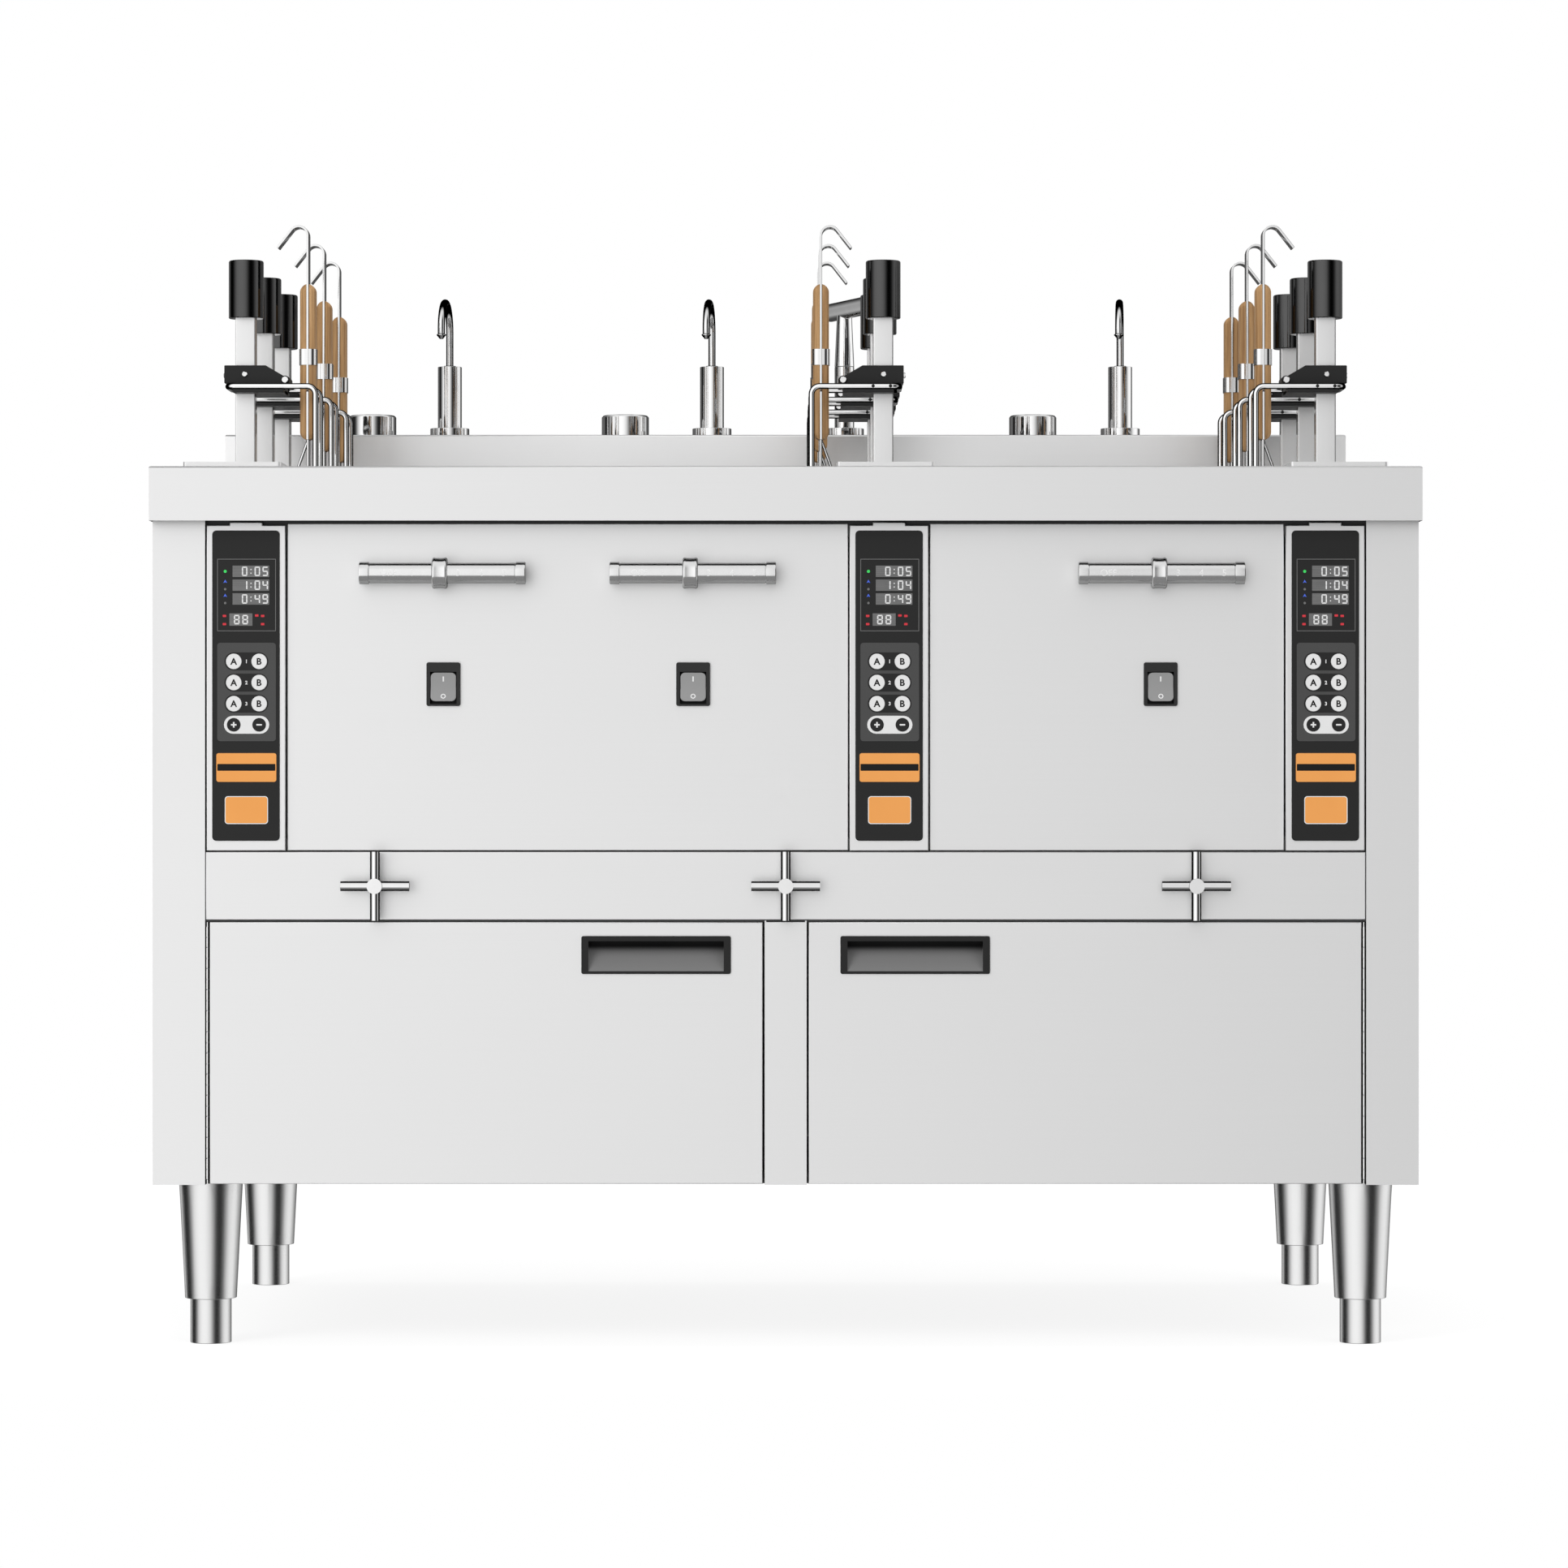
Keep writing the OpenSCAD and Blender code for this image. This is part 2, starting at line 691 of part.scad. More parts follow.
// One leaf and its knuckles, every second one, drilled for the pin
module hinge_leaf(first, web) {
    leaf_x = web > 0 ? stile_x - leaf_t : door_edge;
    difference() {
        union() {
            block([leaf_x, hinge_y + 0.2, door_z], [leaf_x + leaf_t, hinge_y + leaf_d, door_z + door_h]);
            for (i = [first:2:knuckles - 1]) hinge_knuckle(i, web);
        }
        rod_up([hinge_x, hinge_y, door_z - 1], door_h + 2, hinge_pin_r + run_clear);
    }
}

module pull_place() {
    x = post_x + door_gap + pull_inset + pull_w / 2;
    translate([x, 0, door_z + door_h - pull_drop - pull_h / 2]) children();
}

module door() color(steel) {
    door_x = post_x + door_gap;
    difference() {
        union() {
            difference() {
                block([door_x, body_y, door_z], [door_edge, body_y + door_t, door_z + door_h]);
                block([door_x + sheet, body_y + sheet, door_z + sheet],
                      [door_edge - sheet, body_y + door_t + 1, door_z + door_h - sheet]);
            }
            hinge_leaf(0, -(barrel_r + seat + leaf_t / 2));
        }
        pull_place() front_plate(body_y - 1, body_y + sheet + 1)
            square([pull_w - 6 + 2 * seat, pull_h - 6 + 2 * seat], center = true);
    }
}

// Fixed leaf and pin
module door_hinge() {
    hinge_leaf(1, barrel_r + seat + leaf_t / 2);
    rod_up([hinge_x, hinge_y, door_z], door_h, hinge_pin_r);
}

module door_hinges() color(bright) {
    door_hinge();
    mirror([1, 0, 0]) door_hinge();
}

module pull() color(black)
    pull_place() difference() {
        union() {
            front_plate(body_y - pull_rim_t, body_y - seat) round_rect(pull_w, pull_h, 2);
            front_plate(body_y - seat - 1, body_y + pull_depth)
                square([pull_w - 6, pull_h - 6], center = true);
        }
        rotate([90, 0, 90]) linear_extrude(pull_w - 2 * pull_side, center = true)
            polygon([
                [body_y - pull_rim_t - 1, -pull_h / 2 + pull_foot],
                [body_y - pull_rim_t + 0.5, -pull_h / 2 + pull_foot],
                [body_y + pull_depth - pull_wall, pull_slope],
                [body_y + pull_depth - pull_wall, pull_h / 2 - pull_head],
                [body_y - pull_rim_t - 1, pull_h / 2 - pull_head]]);
    }

// Legs
module at_legs() {
    for (x = [-1, 1], y = [front_y + leg_front, -front_y - leg_back])
        translate([x * (half_w - leg_inset), y, 0]) children();
}

module leg_sockets() color(bright)
    at_legs() difference() {
        translate([0, 0, foot_h]) cylinder(h = leg_h - foot_h, d1 = leg_low_d, d2 = leg_top_d);
        rod_up([0, 0, foot_h - 1], foot_stem_l + 2, foot_stem_r + seat);
    }

module feet() color(bright)
    at_legs() {
        cylinder(h = foot_h, d = foot_d);
        rod_up([0, 0, foot_h - 1], foot_stem_l + 1, foot_stem_r);
    }

// Vats and what hangs under them
module vats() color(steel)
    difference() {
        union() {
            translate([0, 0, vat_floor - sheet]) linear_extrude(vat_depth + sheet) vat_outline(sheet);
            translate([0, 0, worktop_h]) linear_extrude(sheet) vat_outline(vat_rim);
        }
        translate([0, 0, vat_floor]) linear_extrude(vat_depth + 2 * sheet) vat_outline(0);
        for (side = sides)
            rod_up([along(side, valve_u[side]), valve_y, vat_floor - 2 * sheet], 4 * sheet, pipe_bore);
    }

module coil_trays() color("#2b2b30")
    for (side = sides)
        translate([along(side, vat_u + vat_w / 2), front_y + vat_front, vat_floor - sheet])
            block([-coil_w / 2, coil_front, -coil_h], [coil_w / 2, coil_front + coil_l, 0]);

// Covers that stand open side down on the base pan
module power_boxes() color("SlateGray")
    for (side = sides)
        translate([along(side, vat_u + vat_w / 2), back_y - box_back - box_d / 2, pan_z]) difference() {
            block([-box_w / 2, -box_d / 2, 0], [box_w / 2, box_d / 2, box_h]);
            block([-box_w / 2 + box_wall, -box_d / 2 + box_wall, -1],
                  [box_w / 2 - box_wall, box_d / 2 - box_wall, box_h - box_wall]);
        }

module drain_pipes() color("Peru") {
    first_x = along(0, valve_u[0]) - main_pipe_r;
    last_x = along(2, valve_u[2]) + main_pipe_r;
    difference() {
        union() {
            for (side = sides) {
                x = along(side, valve_u[side]);
                last_y = side == 2 ? back_y + 5 : main_pipe_y;
                rod_up([x, valve_y, valve_z], vat_floor - sheet - valve_z, pipe_r);
                rod_up([x, valve_y, valve_z - valve_r - 2], 2 * valve_r + 4, valve_r);
                rod_y([x, bonnet_y, valve_z], valve_y - bonnet_y, stem_r + 5);
                rod_y([x, valve_y, valve_z], last_y - valve_y, pipe_r);
            }
            rod_x([first_x, main_pipe_y, valve_z], last_x - first_x, main_pipe_r);
            rod_y([outlet_x, main_pipe_y, valve_z], back_y + outlet_out - main_pipe_y, pipe_r - 0.5);
        }
        for (side = sides) {
            x = along(side, valve_u[side]);
            rod_y([x, bonnet_y - 1, valve_z], 16, stem_r + run_clear);
            rod_up([x, valve_y, valve_z + valve_r + 6], vat_floor - valve_z, pipe_bore);
            rod_y([x, valve_y + valve_r + 4, valve_z], main_pipe_y - valve_y - valve_r - 4, pipe_bore);
        }
        rod_x([first_x + pipe_wall, main_pipe_y, valve_z], last_x - first_x - 2 * pipe_wall,
              main_pipe_r - pipe_wall);
        rod_y([outlet_x, main_pipe_y, valve_z], back_y + outlet_out + 1 - main_pipe_y, pipe_bore);
    }
}

module drain_handle(side) color(bright)
    translate([along(side, valve_u[side]), 0, valve_z]) {
        hub_y = body_y - hub_gap - hub_l;
        arm_y = hub_y + hub_l / 2;
        rod_y([0, hub_y, 0], hub_l, hub_r);
        rod_y([0, hub_y + hub_l - 1, 0], bonnet_y + 12 - hub_y - hub_l, stem_r);
        rod_x([-cross_l / 2, arm_y, 0], cross_l, cross_r);
        rod_up([0, arm_y, -cross_l / 2], cross_l, cross_r);
    }

// Lifts
module deck_plates() color(steel)
    for (side = sides)
        difference() {
            translate([station_x[side], front_y + deck_front + deck_l / 2, worktop_h])
                linear_extrude(deck_t) round_rect(deck_w, deck_l, 3);
            for (row = rows)
                at_lift(side, row) translate([0, 0, worktop_h])
                    cube([guide_bore, guide_bore, 4 * deck_t], center = true);
        }

module lift_drives() color("DimGray")
    for (side = sides, row = rows)
        at_lift(side, row) {
            difference() {
                translate([-guide_side / 2, -guide_side / 2, guide_bottom - 8])
                    cube([guide_side, guide_side, top_z - guide_bottom + 8]);
                translate([-guide_bore / 2, -guide_bore / 2, guide_bottom])
                    cube([guide_bore, guide_bore, top_z - guide_bottom + 1]);
            }
            rod_up([0, 0, guide_bottom - 8 - motor_l], motor_l + 1, motor_d / 2);
        }

module lift_post() color(steel)
    translate([-post_side / 2, -post_side / 2, post_bottom])
        cube([post_side, post_side, post_top - post_bottom]);

module lift_cap() color(black)
    difference() {
        translate([0, 0, worktop_h + cap_rise]) rotate_extrude() polygon([
            [0, 0], [cap_d / 2, 0], [cap_d / 2, cap_h - 1], [cap_d / 2 - 1, cap_h], [0, cap_h]]);
        hole = post_side + 2 * seat;
        translate([-hole / 2, -hole / 2, worktop_h + cap_rise - 1]) cube([hole, hole, cap_grip + 1 + seat]);
    }

module lift_bracket() color(black) {
    hole = post_side + 2 * seat;
    tip_z = bracket_z + cross_pin_r;
    difference() {
        union() {
            front_plate(-bracket_d / 2, bracket_d / 2) polygon([
                [-bracket_out, bracket_z], [bracket_in, bracket_z], [bracket_in, tip_z + cross_pin_r],
                [bracket_flat, bracket_z + bracket_h], [-bracket_out, bracket_z + bracket_h]]);
            rod_y([bracket_in, -bracket_d / 2, tip_z], bracket_d, cross_pin_r + 1.2);
            block([-bracket_out / 2, -bracket_d / 2, saddle_z], [bracket_in, bracket_d / 2, bracket_z + 1]);
            block([-bracket_out / 2, -rod_v - rod_r, saddle_z],
                  [bracket_in, rod_v + rod_r, saddle_z + saddle_t]);
        }
        translate([-hole / 2, -hole / 2, saddle_z - 1]) cube([hole, hole, bracket_h + bracket_rise]);
        rod_y([bracket_in, -bracket_d, tip_z], 2 * bracket_d, cross_pin_r + seat);
    }
}

module lift_fittings() {
    middle_z = bracket_z + bracket_h / 2;
    color(bright) {
        rod_y([bracket_in, -cross_pin_l / 2, bracket_z + cross_pin_r], cross_pin_l, cross_pin_r);
        for (v = [-bracket_d / 2 - seat - screw_t, bracket_d / 2 + seat])
            rod_y([0, v, middle_z], screw_t, screw_r);
        rod_x([-bracket_out - seat - screw_t, 0, middle_z], screw_t, screw_r);
    }
    color(black)
        for (u = [-bracket_out / 3, bracket_flat / 2])
            rod_y([u, rod_v + rod_r + seat / 2, rod_z], screw_t / 2, screw_r / 2);
}

// The closed loop of round rod that carries the basket
module lift_cradle() color(bright) {
    outer = -cradle_out;
    drop = cradle_drop_u;
    inner = drop + cradle_foot;
    v = rod_v - rod_bend;
    rod_y([outer, -v, rod_z], 2 * v, rod_r);
    rod_y([inner, -v, cradle_z], 2 * v, rod_r);
    translate([outer + rod_bend, v, rod_z]) rotate([0, 0, 90]) elbow(rod_bend, rod_r);
    translate([outer + rod_bend, -v, rod_z]) rotate([0, 0, 180]) elbow(rod_bend, rod_r);
    translate([inner - rod_bend, v, cradle_z]) elbow(rod_bend, rod_r);
    translate([inner - rod_bend, -v, cradle_z]) rotate([0, 0, 270]) elbow(rod_bend, rod_r);
    for (m = [-1, 1]) {
        rod_x([outer + rod_bend, m * rod_v, rod_z], drop - outer - 2 * rod_bend, rod_r);
        translate([drop - rod_bend, m * rod_v, rod_z - rod_bend]) rotate([90, 0, 0]) elbow(rod_bend, rod_r);
        rod_up([drop, m * rod_v, cradle_z + rod_bend], rod_z - cradle_z - 2 * rod_bend, rod_r);
        translate([drop + rod_bend, m * rod_v, cradle_z + rod_bend])
            rotate([90, 0, 0]) rotate([0, 0, 180]) elbow(rod_bend, rod_r);
        rod_x([drop + rod_bend, m * rod_v, cradle_z], cradle_foot - 2 * rod_bend, rod_r);
    }
}

module lift(side, row)
    at_lift(side, row) {
        lift_post();
        lift_cap();
        lift_bracket();
        lift_fittings();
        lift_cradle();
    }

// Strainers
module basket() {
    r = basket_d / 2;
    translate([basket_u, 0, basket_z]) rotate_extrude() {
        polygon([
            [0, 0], [r - basket_taper, 0], [r, 1.5 * basket_taper],
            [r, basket_h], [r - basket_wall, basket_h],
            [r - basket_wall, 1.5 * basket_taper + basket_wall / 2],
            [r - basket_taper - basket_wall / 2, basket_wall], [0, basket_wall]]);
        translate([r - basket_wall / 2, basket_h]) circle(rim_r);
    }
}

// One side of the strap's outline, from the handle's foot round the bend to the tip
function strap_side(r) = concat(
    [[handle_u - hook_r + r, handle_z]],
    [for (a = [0:hook_turn / hook_steps:hook_turn + 0.01])
        [handle_u - hook_r + r * cos(a), hook_z + r * sin(a)]],
    [[handle_u - hook_r + r * cos(hook_turn) - hook_tip * sin(hook_turn),
      hook_z + r * sin(hook_turn) + hook_tip * cos(hook_turn)]]);

function backwards(list) = [for (i = [len(list) - 1:-1:0]) list[i]];

// The flat strap, bent to a hook at the top
module strap()
    rotate([90, 0, 0]) linear_extrude(strap_w, center = true)
        polygon(concat(strap_side(hook_r + strap_t / 2), backwards(strap_side(hook_r - strap_t / 2))));

// Two wires down to the rim and a prop towards the vat's edge
module strainer_wires() {
    bend = 3 * wire_r;
    for (m = [-1, 1]) {
        v = m * wire_gap / 2;
        rod_up([handle_u, v, rim_z + bend], handle_z - seat - rim_z - bend, wire_r);
        translate([handle_u + bend, v, rim_z + bend])
            rotate([90, 0, 0]) rotate([0, 0, 180]) elbow(bend, wire_r);
        rod_x([handle_u + bend, v, rim_z], basket_u - rim_out - seat - handle_u - bend, wire_r);
    }
    prop_top = handle_z - seat - wire_r * sin(prop_lean);
    prop_l = (prop_top - worktop_h - sheet - 3) / cos(prop_lean);
    translate([handle_u, 0, prop_top]) rotate([0, 180 + prop_lean, 0]) cylinder(h = prop_l, r = wire_r);
}

module handle_column(extra, z0, z1) {
    translate([handle_u, 0, z0]) linear_extrude(z1 - z0)
        round_rect(handle_w + 2 * extra, handle_d + 2 * extra, 5 + extra);
}

module strap_slot() {
    slot = strap_t + 2 * seat;
    block([handle_u - slot / 2, -handle_d, handle_z - 1],
          [handle_u + slot / 2, handle_d, handle_z + handle_l + 1]);
}

module strainer_scales() color("BurlyWood")
    difference() {
        intersection() {
            handle_column(0, handle_z, handle_z + handle_l);
            translate([handle_u, 0, handle_z + handle_l / 2]) rotate([90, 0, 0])
                linear_extrude(2 * handle_d, center = true)
                    round_rect(handle_w, handle_l, handle_w / 2 - 0.2);
        }
        strap_slot();
        rod_y([handle_u, -handle_d, handle_z - 1], 2 * handle_d, 3 * wire_r);
    }

module strainer_ferrule() color(bright)
    difference() {
        z = worktop_h + ferrule_rise;
        handle_column(ferrule_wall, z, z + ferrule_h);
        handle_column(seat, z - 1, z + ferrule_h + 1);
        strap_slot();
    }

module strainer(side, row)
    at_lift(side, row) {
        color(bright) {
            basket();
            strap();
            strainer_wires();
        }
        strainer_scales();
        strainer_ferrule();
    }

// Taps and water
module tap_body(x, d) {
    translate([x, tap_y, 0]) {
        rod_up([0, 0, ledge_top], tap_flange_h, tap_flange_d / 2);
        rod_up([0, 0, ledge_top], tap_body_h, d / 2);
        rod_up([0, 0, shank_end], ledge_top - shank_end + 1, shank_r);
    }
}

module tap_bodies() color(bright)
    difference() {
        union() {
            for (side = sides) tap_body(tap_x(side), tap_body_d);
            tap_body(filler_x, filler_d);
        }
        for (x = [tap_x(0), tap_x(1), tap_x(2), filler_x])
            rod_up([x, tap_y, tap_top - spout_stem_l - 1], spout_stem_l + 2, spout_stem_r + run_clear);
    }

module spout(side) color(bright)
    translate([tap_x(side), tap_y, tap_top]) rotate([0, 0, neck_turn]) {
        rod_up([0, 0, -spout_stem_l], spout_stem_l + clear + 1, spout_stem_r);
        rod_up([0, 0, clear], 5, spout_stem_r + 2.5);
        rod_up([0, 0, clear], neck_rise - clear, neck_r);
        translate([0, -neck_bend, neck_rise]) rotate([90, 0, 90]) {
            elbow(neck_bend, neck_r);
            rotate([0, 0, 90]) elbow(neck_bend, neck_r);
        }
        translate([0, -2 * neck_bend, neck_rise - nozzle_l])
            cylinder(h = nozzle_l, r1 = nozzle_r, r2 = neck_r);
    }

module tap_knob(side) color(bright)
    translate([knob_x(side), tap_y, ledge_top]) {
        translate([0, 0, clear]) rotate_extrude() polygon([
            [0, 0], [knob_d / 2, 0], [knob_d / 2, knob_h - 2], [knob_d / 2 - 2, knob_h], [0, knob_h]]);
        rod_up([0, 0, shank_end + clear - ledge_top], ledge_top - shank_end, knob_shaft_r);
    }

module filler_spout() color(bright)
    translate([filler_x, tap_y, tap_top]) rotate([0, 0, filler_turn]) {
        barrel_z = ledge_top + filler_rise - tap_top;
        rod_up([0, 0, -spout_stem_l], spout_stem_l + clear + 1, spout_stem_r);
        translate([0, 0, clear]) cylinder(h = barrel_z - clear, d1 = filler_d, d2 = filler_neck_d);
        rod_y([0, -filler_front, barrel_z], filler_front + filler_rear, filler_barrel_r);
        rod_up([0, -filler_front + filler_barrel_r, barrel_z - outlet_l], outlet_l, filler_barrel_r - 2.5);
    }

module service_inlets() color(bright) {
    first_x = knob_x(0) - 15;
    difference() {
        union() {
            rod_x([first_x, tap_y, water_z], tap_x(2) + 15 - first_x, water_r);
            rod_y([inlet_x, tap_y, water_z], worktop_d / 2 + 2 - tap_y, inlet_r);
            rod_y([inlet_x, tap_y, water_z], worktop_d / 2 + inlet_out - tap_y, inlet_r - 0.5);
        }
        rod_y([inlet_x, worktop_d / 2 - 10, water_z], inlet_out + 11, inlet_r - 3);
    }
    gland_z = leg_h + gland_rise;
    color(black) difference() {
        union() {
            rod_y([gland_x, back_y - gland_in, gland_z], gland_in + sheet + 2, gland_r);
            rod_y([gland_x, back_y + sheet + seat, gland_z], gland_out / 2, gland_r + 5);
            rod_y([gland_x, back_y + sheet + seat, gland_z], gland_out, gland_r + 2);
        }
        rod_y([gland_x, back_y - gland_in - 1, gland_z], gland_in + gland_out + sheet + 2, gland_r - 4);
    }
}

// Controls
module slide_bars() color(bright)
    for (side = sides)
        translate([along(side, control_u[side]), bar_y, bar_z]) {
            rod_x([-bar_l / 2, 0, 0], bar_l, bar_r);
            for (x = [-bar_l / 2, bar_l / 2 - bar_cap_l]) rod_x([x, 0, 0], bar_cap_l, bar_cap_r);
            for (m = [-1, 1]) rod_y([m * (bar_l - bar_cap_l) / 2, 0, 0], bar_stand, standoff_r);
        }

module ring(side) color(bright)
    translate([along(side, control_u[side]) + ring_offset, bar_y, bar_z]) difference() {
        rod_x([-ring_w / 2, 0, 0], ring_w, ring_r);
        rod_x([-ring_w, 0, 0], 2 * ring_w, bar_r + run_clear);
    }

pocket_w = key_w + 2 * clear;
pocket_h = key_h + 7 * clear;
pin_l = 1;

module switch_frames() color(black)
    for (side = sides)
        translate([along(side, control_u[side]), 0, 0]) difference() {
            union() {
                front_plate(panel_y - switch_t, panel_y)
                    translate([0, switch_z]) round_rect(switch_w, switch_h, 2);
                front_plate(panel_y - 1, panel_y + switch_depth) translate([0, switch_z])
                    square([switch_w - 3, switch_h - 3], center = true);
            }
            front_plate(panel_y - switch_t - 1, panel_y + pocket_depth) translate([0, key_z])
                square([pocket_w, pocket_h], center = true);
            rod_x([-pocket_w / 2 - pin_l, pivot_y, key_z], pocket_w + 2 * pin_l, 1.5 + run_clear);
        }

module switch_key(side) color("DimGray")
    translate([along(side, control_u[side]), pivot_y, key_z]) rotate([-key_tilt, 0, 0]) {
        rotate([90, 0, 90]) linear_extrude(key_w, center = true)
            polygon([
                [-8, key_h / 2], [-5.5, 0], [-8, -key_h / 2],
                [3, 1.5 - key_h / 2], [3, key_h / 2 - 1.5]]);
        rod_x([-key_w / 2 - clear - pin_l / 2, 0, 0], key_w + 2 * clear + pin_l, 1.5);
    }

worktop();
rear_ledge();
side_panels();
chassis();
back_panel();
front_panels();
control_columns();
keypads();
valve_strip();
vats();
deck_plates();
lift_drives();
leg_sockets();
feet();
slide_bars();
switch_frames();
tap_bodies();
door_hinges();
coil_trays();
power_boxes();
drain_pipes();
service_inlets();
mirror([1, 0, 0]) door();  // door_left
door();  // door_right
mirror([1, 0, 0]) pull();  // pull_left
pull();  // pull_right
filler_spout();
for (s = sides) {
    ring(s);
    switch_key(s);
    drain_handle(s);
    spout(s);
    tap_knob(s);
    for (r = rows) {
        lift(s, r);
        strainer(s, r);
    }
}
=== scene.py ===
import json
from math import atan2, copysign, cos, degrees, pi, radians, sin, sqrt, tan

import bmesh
import bpy
from mathutils import Matrix, Vector


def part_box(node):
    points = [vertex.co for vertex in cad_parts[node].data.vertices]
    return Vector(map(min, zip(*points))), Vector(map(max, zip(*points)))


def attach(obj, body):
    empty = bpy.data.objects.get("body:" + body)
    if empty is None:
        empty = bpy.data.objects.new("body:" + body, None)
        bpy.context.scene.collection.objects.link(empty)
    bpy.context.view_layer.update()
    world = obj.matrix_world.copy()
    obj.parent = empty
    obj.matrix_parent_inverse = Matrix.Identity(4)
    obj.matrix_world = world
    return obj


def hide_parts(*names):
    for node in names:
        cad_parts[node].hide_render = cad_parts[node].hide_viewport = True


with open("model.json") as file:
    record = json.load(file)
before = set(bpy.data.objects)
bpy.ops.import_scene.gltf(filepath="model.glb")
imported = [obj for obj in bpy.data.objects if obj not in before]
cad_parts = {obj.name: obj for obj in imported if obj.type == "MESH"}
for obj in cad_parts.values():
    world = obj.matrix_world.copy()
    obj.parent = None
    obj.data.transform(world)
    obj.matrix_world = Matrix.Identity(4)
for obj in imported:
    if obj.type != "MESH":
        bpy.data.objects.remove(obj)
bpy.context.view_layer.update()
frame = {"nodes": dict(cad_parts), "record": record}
cad_nodes = frame["nodes"]
scene = bpy.context.scene
body_of_node = {n: b for b, members in frame["record"]["behaviour"]["bodies"].items() for n in members}

SIDES = ("left", "mid", "right")
ROWS = ("front", "middle", "rear")
DOORS = ("left", "right")


def box_mm(node):
    """A CAD node's lowest and highest corner at rest, in millimetres."""
    return [corner * 1000 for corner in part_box(node)]


# Places in millimetres, in the part's own frame
LIFT_X = {"left": -542, "mid": 98, "right": 542}
LIFT_Y = {"front": -205, "middle": -15, "rear": 175}
LIFT_TURN = {"left": 0, "mid": 180, "right": 180}
CONTROL_X = {"left": -334.4, "mid": -90.4, "right": 366.4}
KEYPAD_X = {"left": -527, "mid": 101, "right": 527}
TAP_X = {"left": -370, "mid": -81, "right": 369}
HINGE_X = 564.7
DOOR_EDGE = 562.35
WORKTOP_HIGH = box_mm("worktop")[1]
DECK_TOP = box_mm("deck_plates")[1].z
SIDE_X = box_mm("side_panels")[1].x
BODY_Y = box_mm("valve_strip")[0].y
PANEL_Y = box_mm("front_panels")[0].y
FILM_Y = box_mm("keypads")[0].y
TO_METRES = Matrix.Scale(0.001, 4)
TO_MILLIMETRES = Matrix.Scale(1000, 4)


# Finishes

class Lead:
    """A socket in a node tree. Sums and products of leads add Math nodes."""

    def __init__(self, tree, socket=None):
        self.tree = tree
        self.socket = socket

    def node(self, kind, sockets=None, out=0, stops=(), **settings):
        """Adds a node with its settings, its colour stops, and the values or leads of its sockets."""
        made = self.tree.nodes.new(kind)
        for name, value in settings.items():
            setattr(made, name, value)
        ramp = made.color_ramp.elements if stops else ()
        while len(ramp) < len(stops):
            ramp.new(1.0)
        for stop, (place, colour) in zip(ramp, stops):
            stop.position, stop.color = place, shade(colour)
        for name, value in (sockets or {}).items():
            if isinstance(value, Lead):
                self.tree.links.new(value.socket, made.inputs[name])
            else:
                made.inputs[name].default_value = value
        return Lead(self.tree, made.outputs[out] if len(made.outputs) else None)

    def other(self, name):
        """Another output of the same node."""
        return Lead(self.tree, self.socket.node.outputs[name])

    def along(self, axis):
        """The X, Y or Z of a vector."""
        return self.node("ShaderNodeSeparateXYZ", {0: self}, axis)

    def maths(self, operation, *values):
        return self.node("ShaderNodeMath", dict(enumerate(values)), operation=operation)

    def __abs__(self):
        return self.maths("ABSOLUTE", self)

    def clamped(self):
        return self.node("ShaderNodeClamp", {"Value": self})


for sign, operation in {"add": "ADD", "sub": "SUBTRACT", "mul": "MULTIPLY", "truediv": "DIVIDE"}.items():
    setattr(Lead, f"__{sign}__", lambda a, b, o=operation: a.maths(o, a, b))
    setattr(Lead, f"__r{sign}__", lambda a, b, o=operation: a.maths(o, b, a))


def shade(value):
    """A colour from one grey level or from three parts. A lead stays as it is."""
    if isinstance(value, Lead):
        return value
    parts = value if isinstance(value, tuple) else (value, value, value)
    return (*parts, 1.0)


def blend(factor, first, second):
    """A colour between two others."""
    sockets = {0: factor, 6: shade(first), 7: shade(second)}
    return factor.node("ShaderNodeMix", sockets, 2, data_type="RGBA")


def between(factor, low, high):
    return low + (high - low) * factor


def looking(lead, axis):
    """How far a face looks along an axis, either way, from 0 to 1."""
    return abs(lead.node("ShaderNodeNewGeometry", out="Normal").along(axis))


def streaks(place, stretch, detail):
    """Noise from 0 to 1, stretched so that it runs in fine lines."""
    spread = place.node("ShaderNodeMapping", {"Vector": place, "Scale": stretch})
    return spread.node("ShaderNodeTexNoise", {
        "Vector": spread, "Scale": 1.0, "Detail": detail, "Roughness": 0.6})


def specks(place, fineness, detail):
    """Noise from 0 to 1 that is as fine along every axis."""
    return streaks(place, (fineness, fineness, fineness), detail)


def step_between(value, low, high):
    """Rises smoothly from 0 to 1 between two values, or falls if they are given in that order."""
    return value.node("ShaderNodeMapRange", {
        "Value": value, "From Min": low, "From Max": high}, interpolation_type="SMOOTHSTEP")


def relief(height, strength, depth):
    return height.node("ShaderNodeBump", {
        "Height": height, "Strength": strength, "Distance": depth}, "Normal")


def fresh_tree(owner):
    """The emptied node tree of a material or a world."""
    owner.use_nodes = True
    owner.node_tree.nodes.clear()
    return Lead(owner.node_tree)


def surface(colour, roughness, *normal):
    return dict(zip(("Base Color", "Roughness", "Normal"), (colour, roughness, *normal)))


def make_finish(name, constants, kind, *values):
    """A material. Constants go straight on the shader; its kind, a function of place, returns the rest."""
    material = bpy.data.materials.new(name)
    start = fresh_tree(material)
    place = start.node("ShaderNodeTexCoord", out="Object")
    shader = start.node("ShaderNodeBsdfPrincipled", {**constants, **kind(place, *values)})
    start.node("ShaderNodeOutputMaterial", {"Surface": shader})
    return material


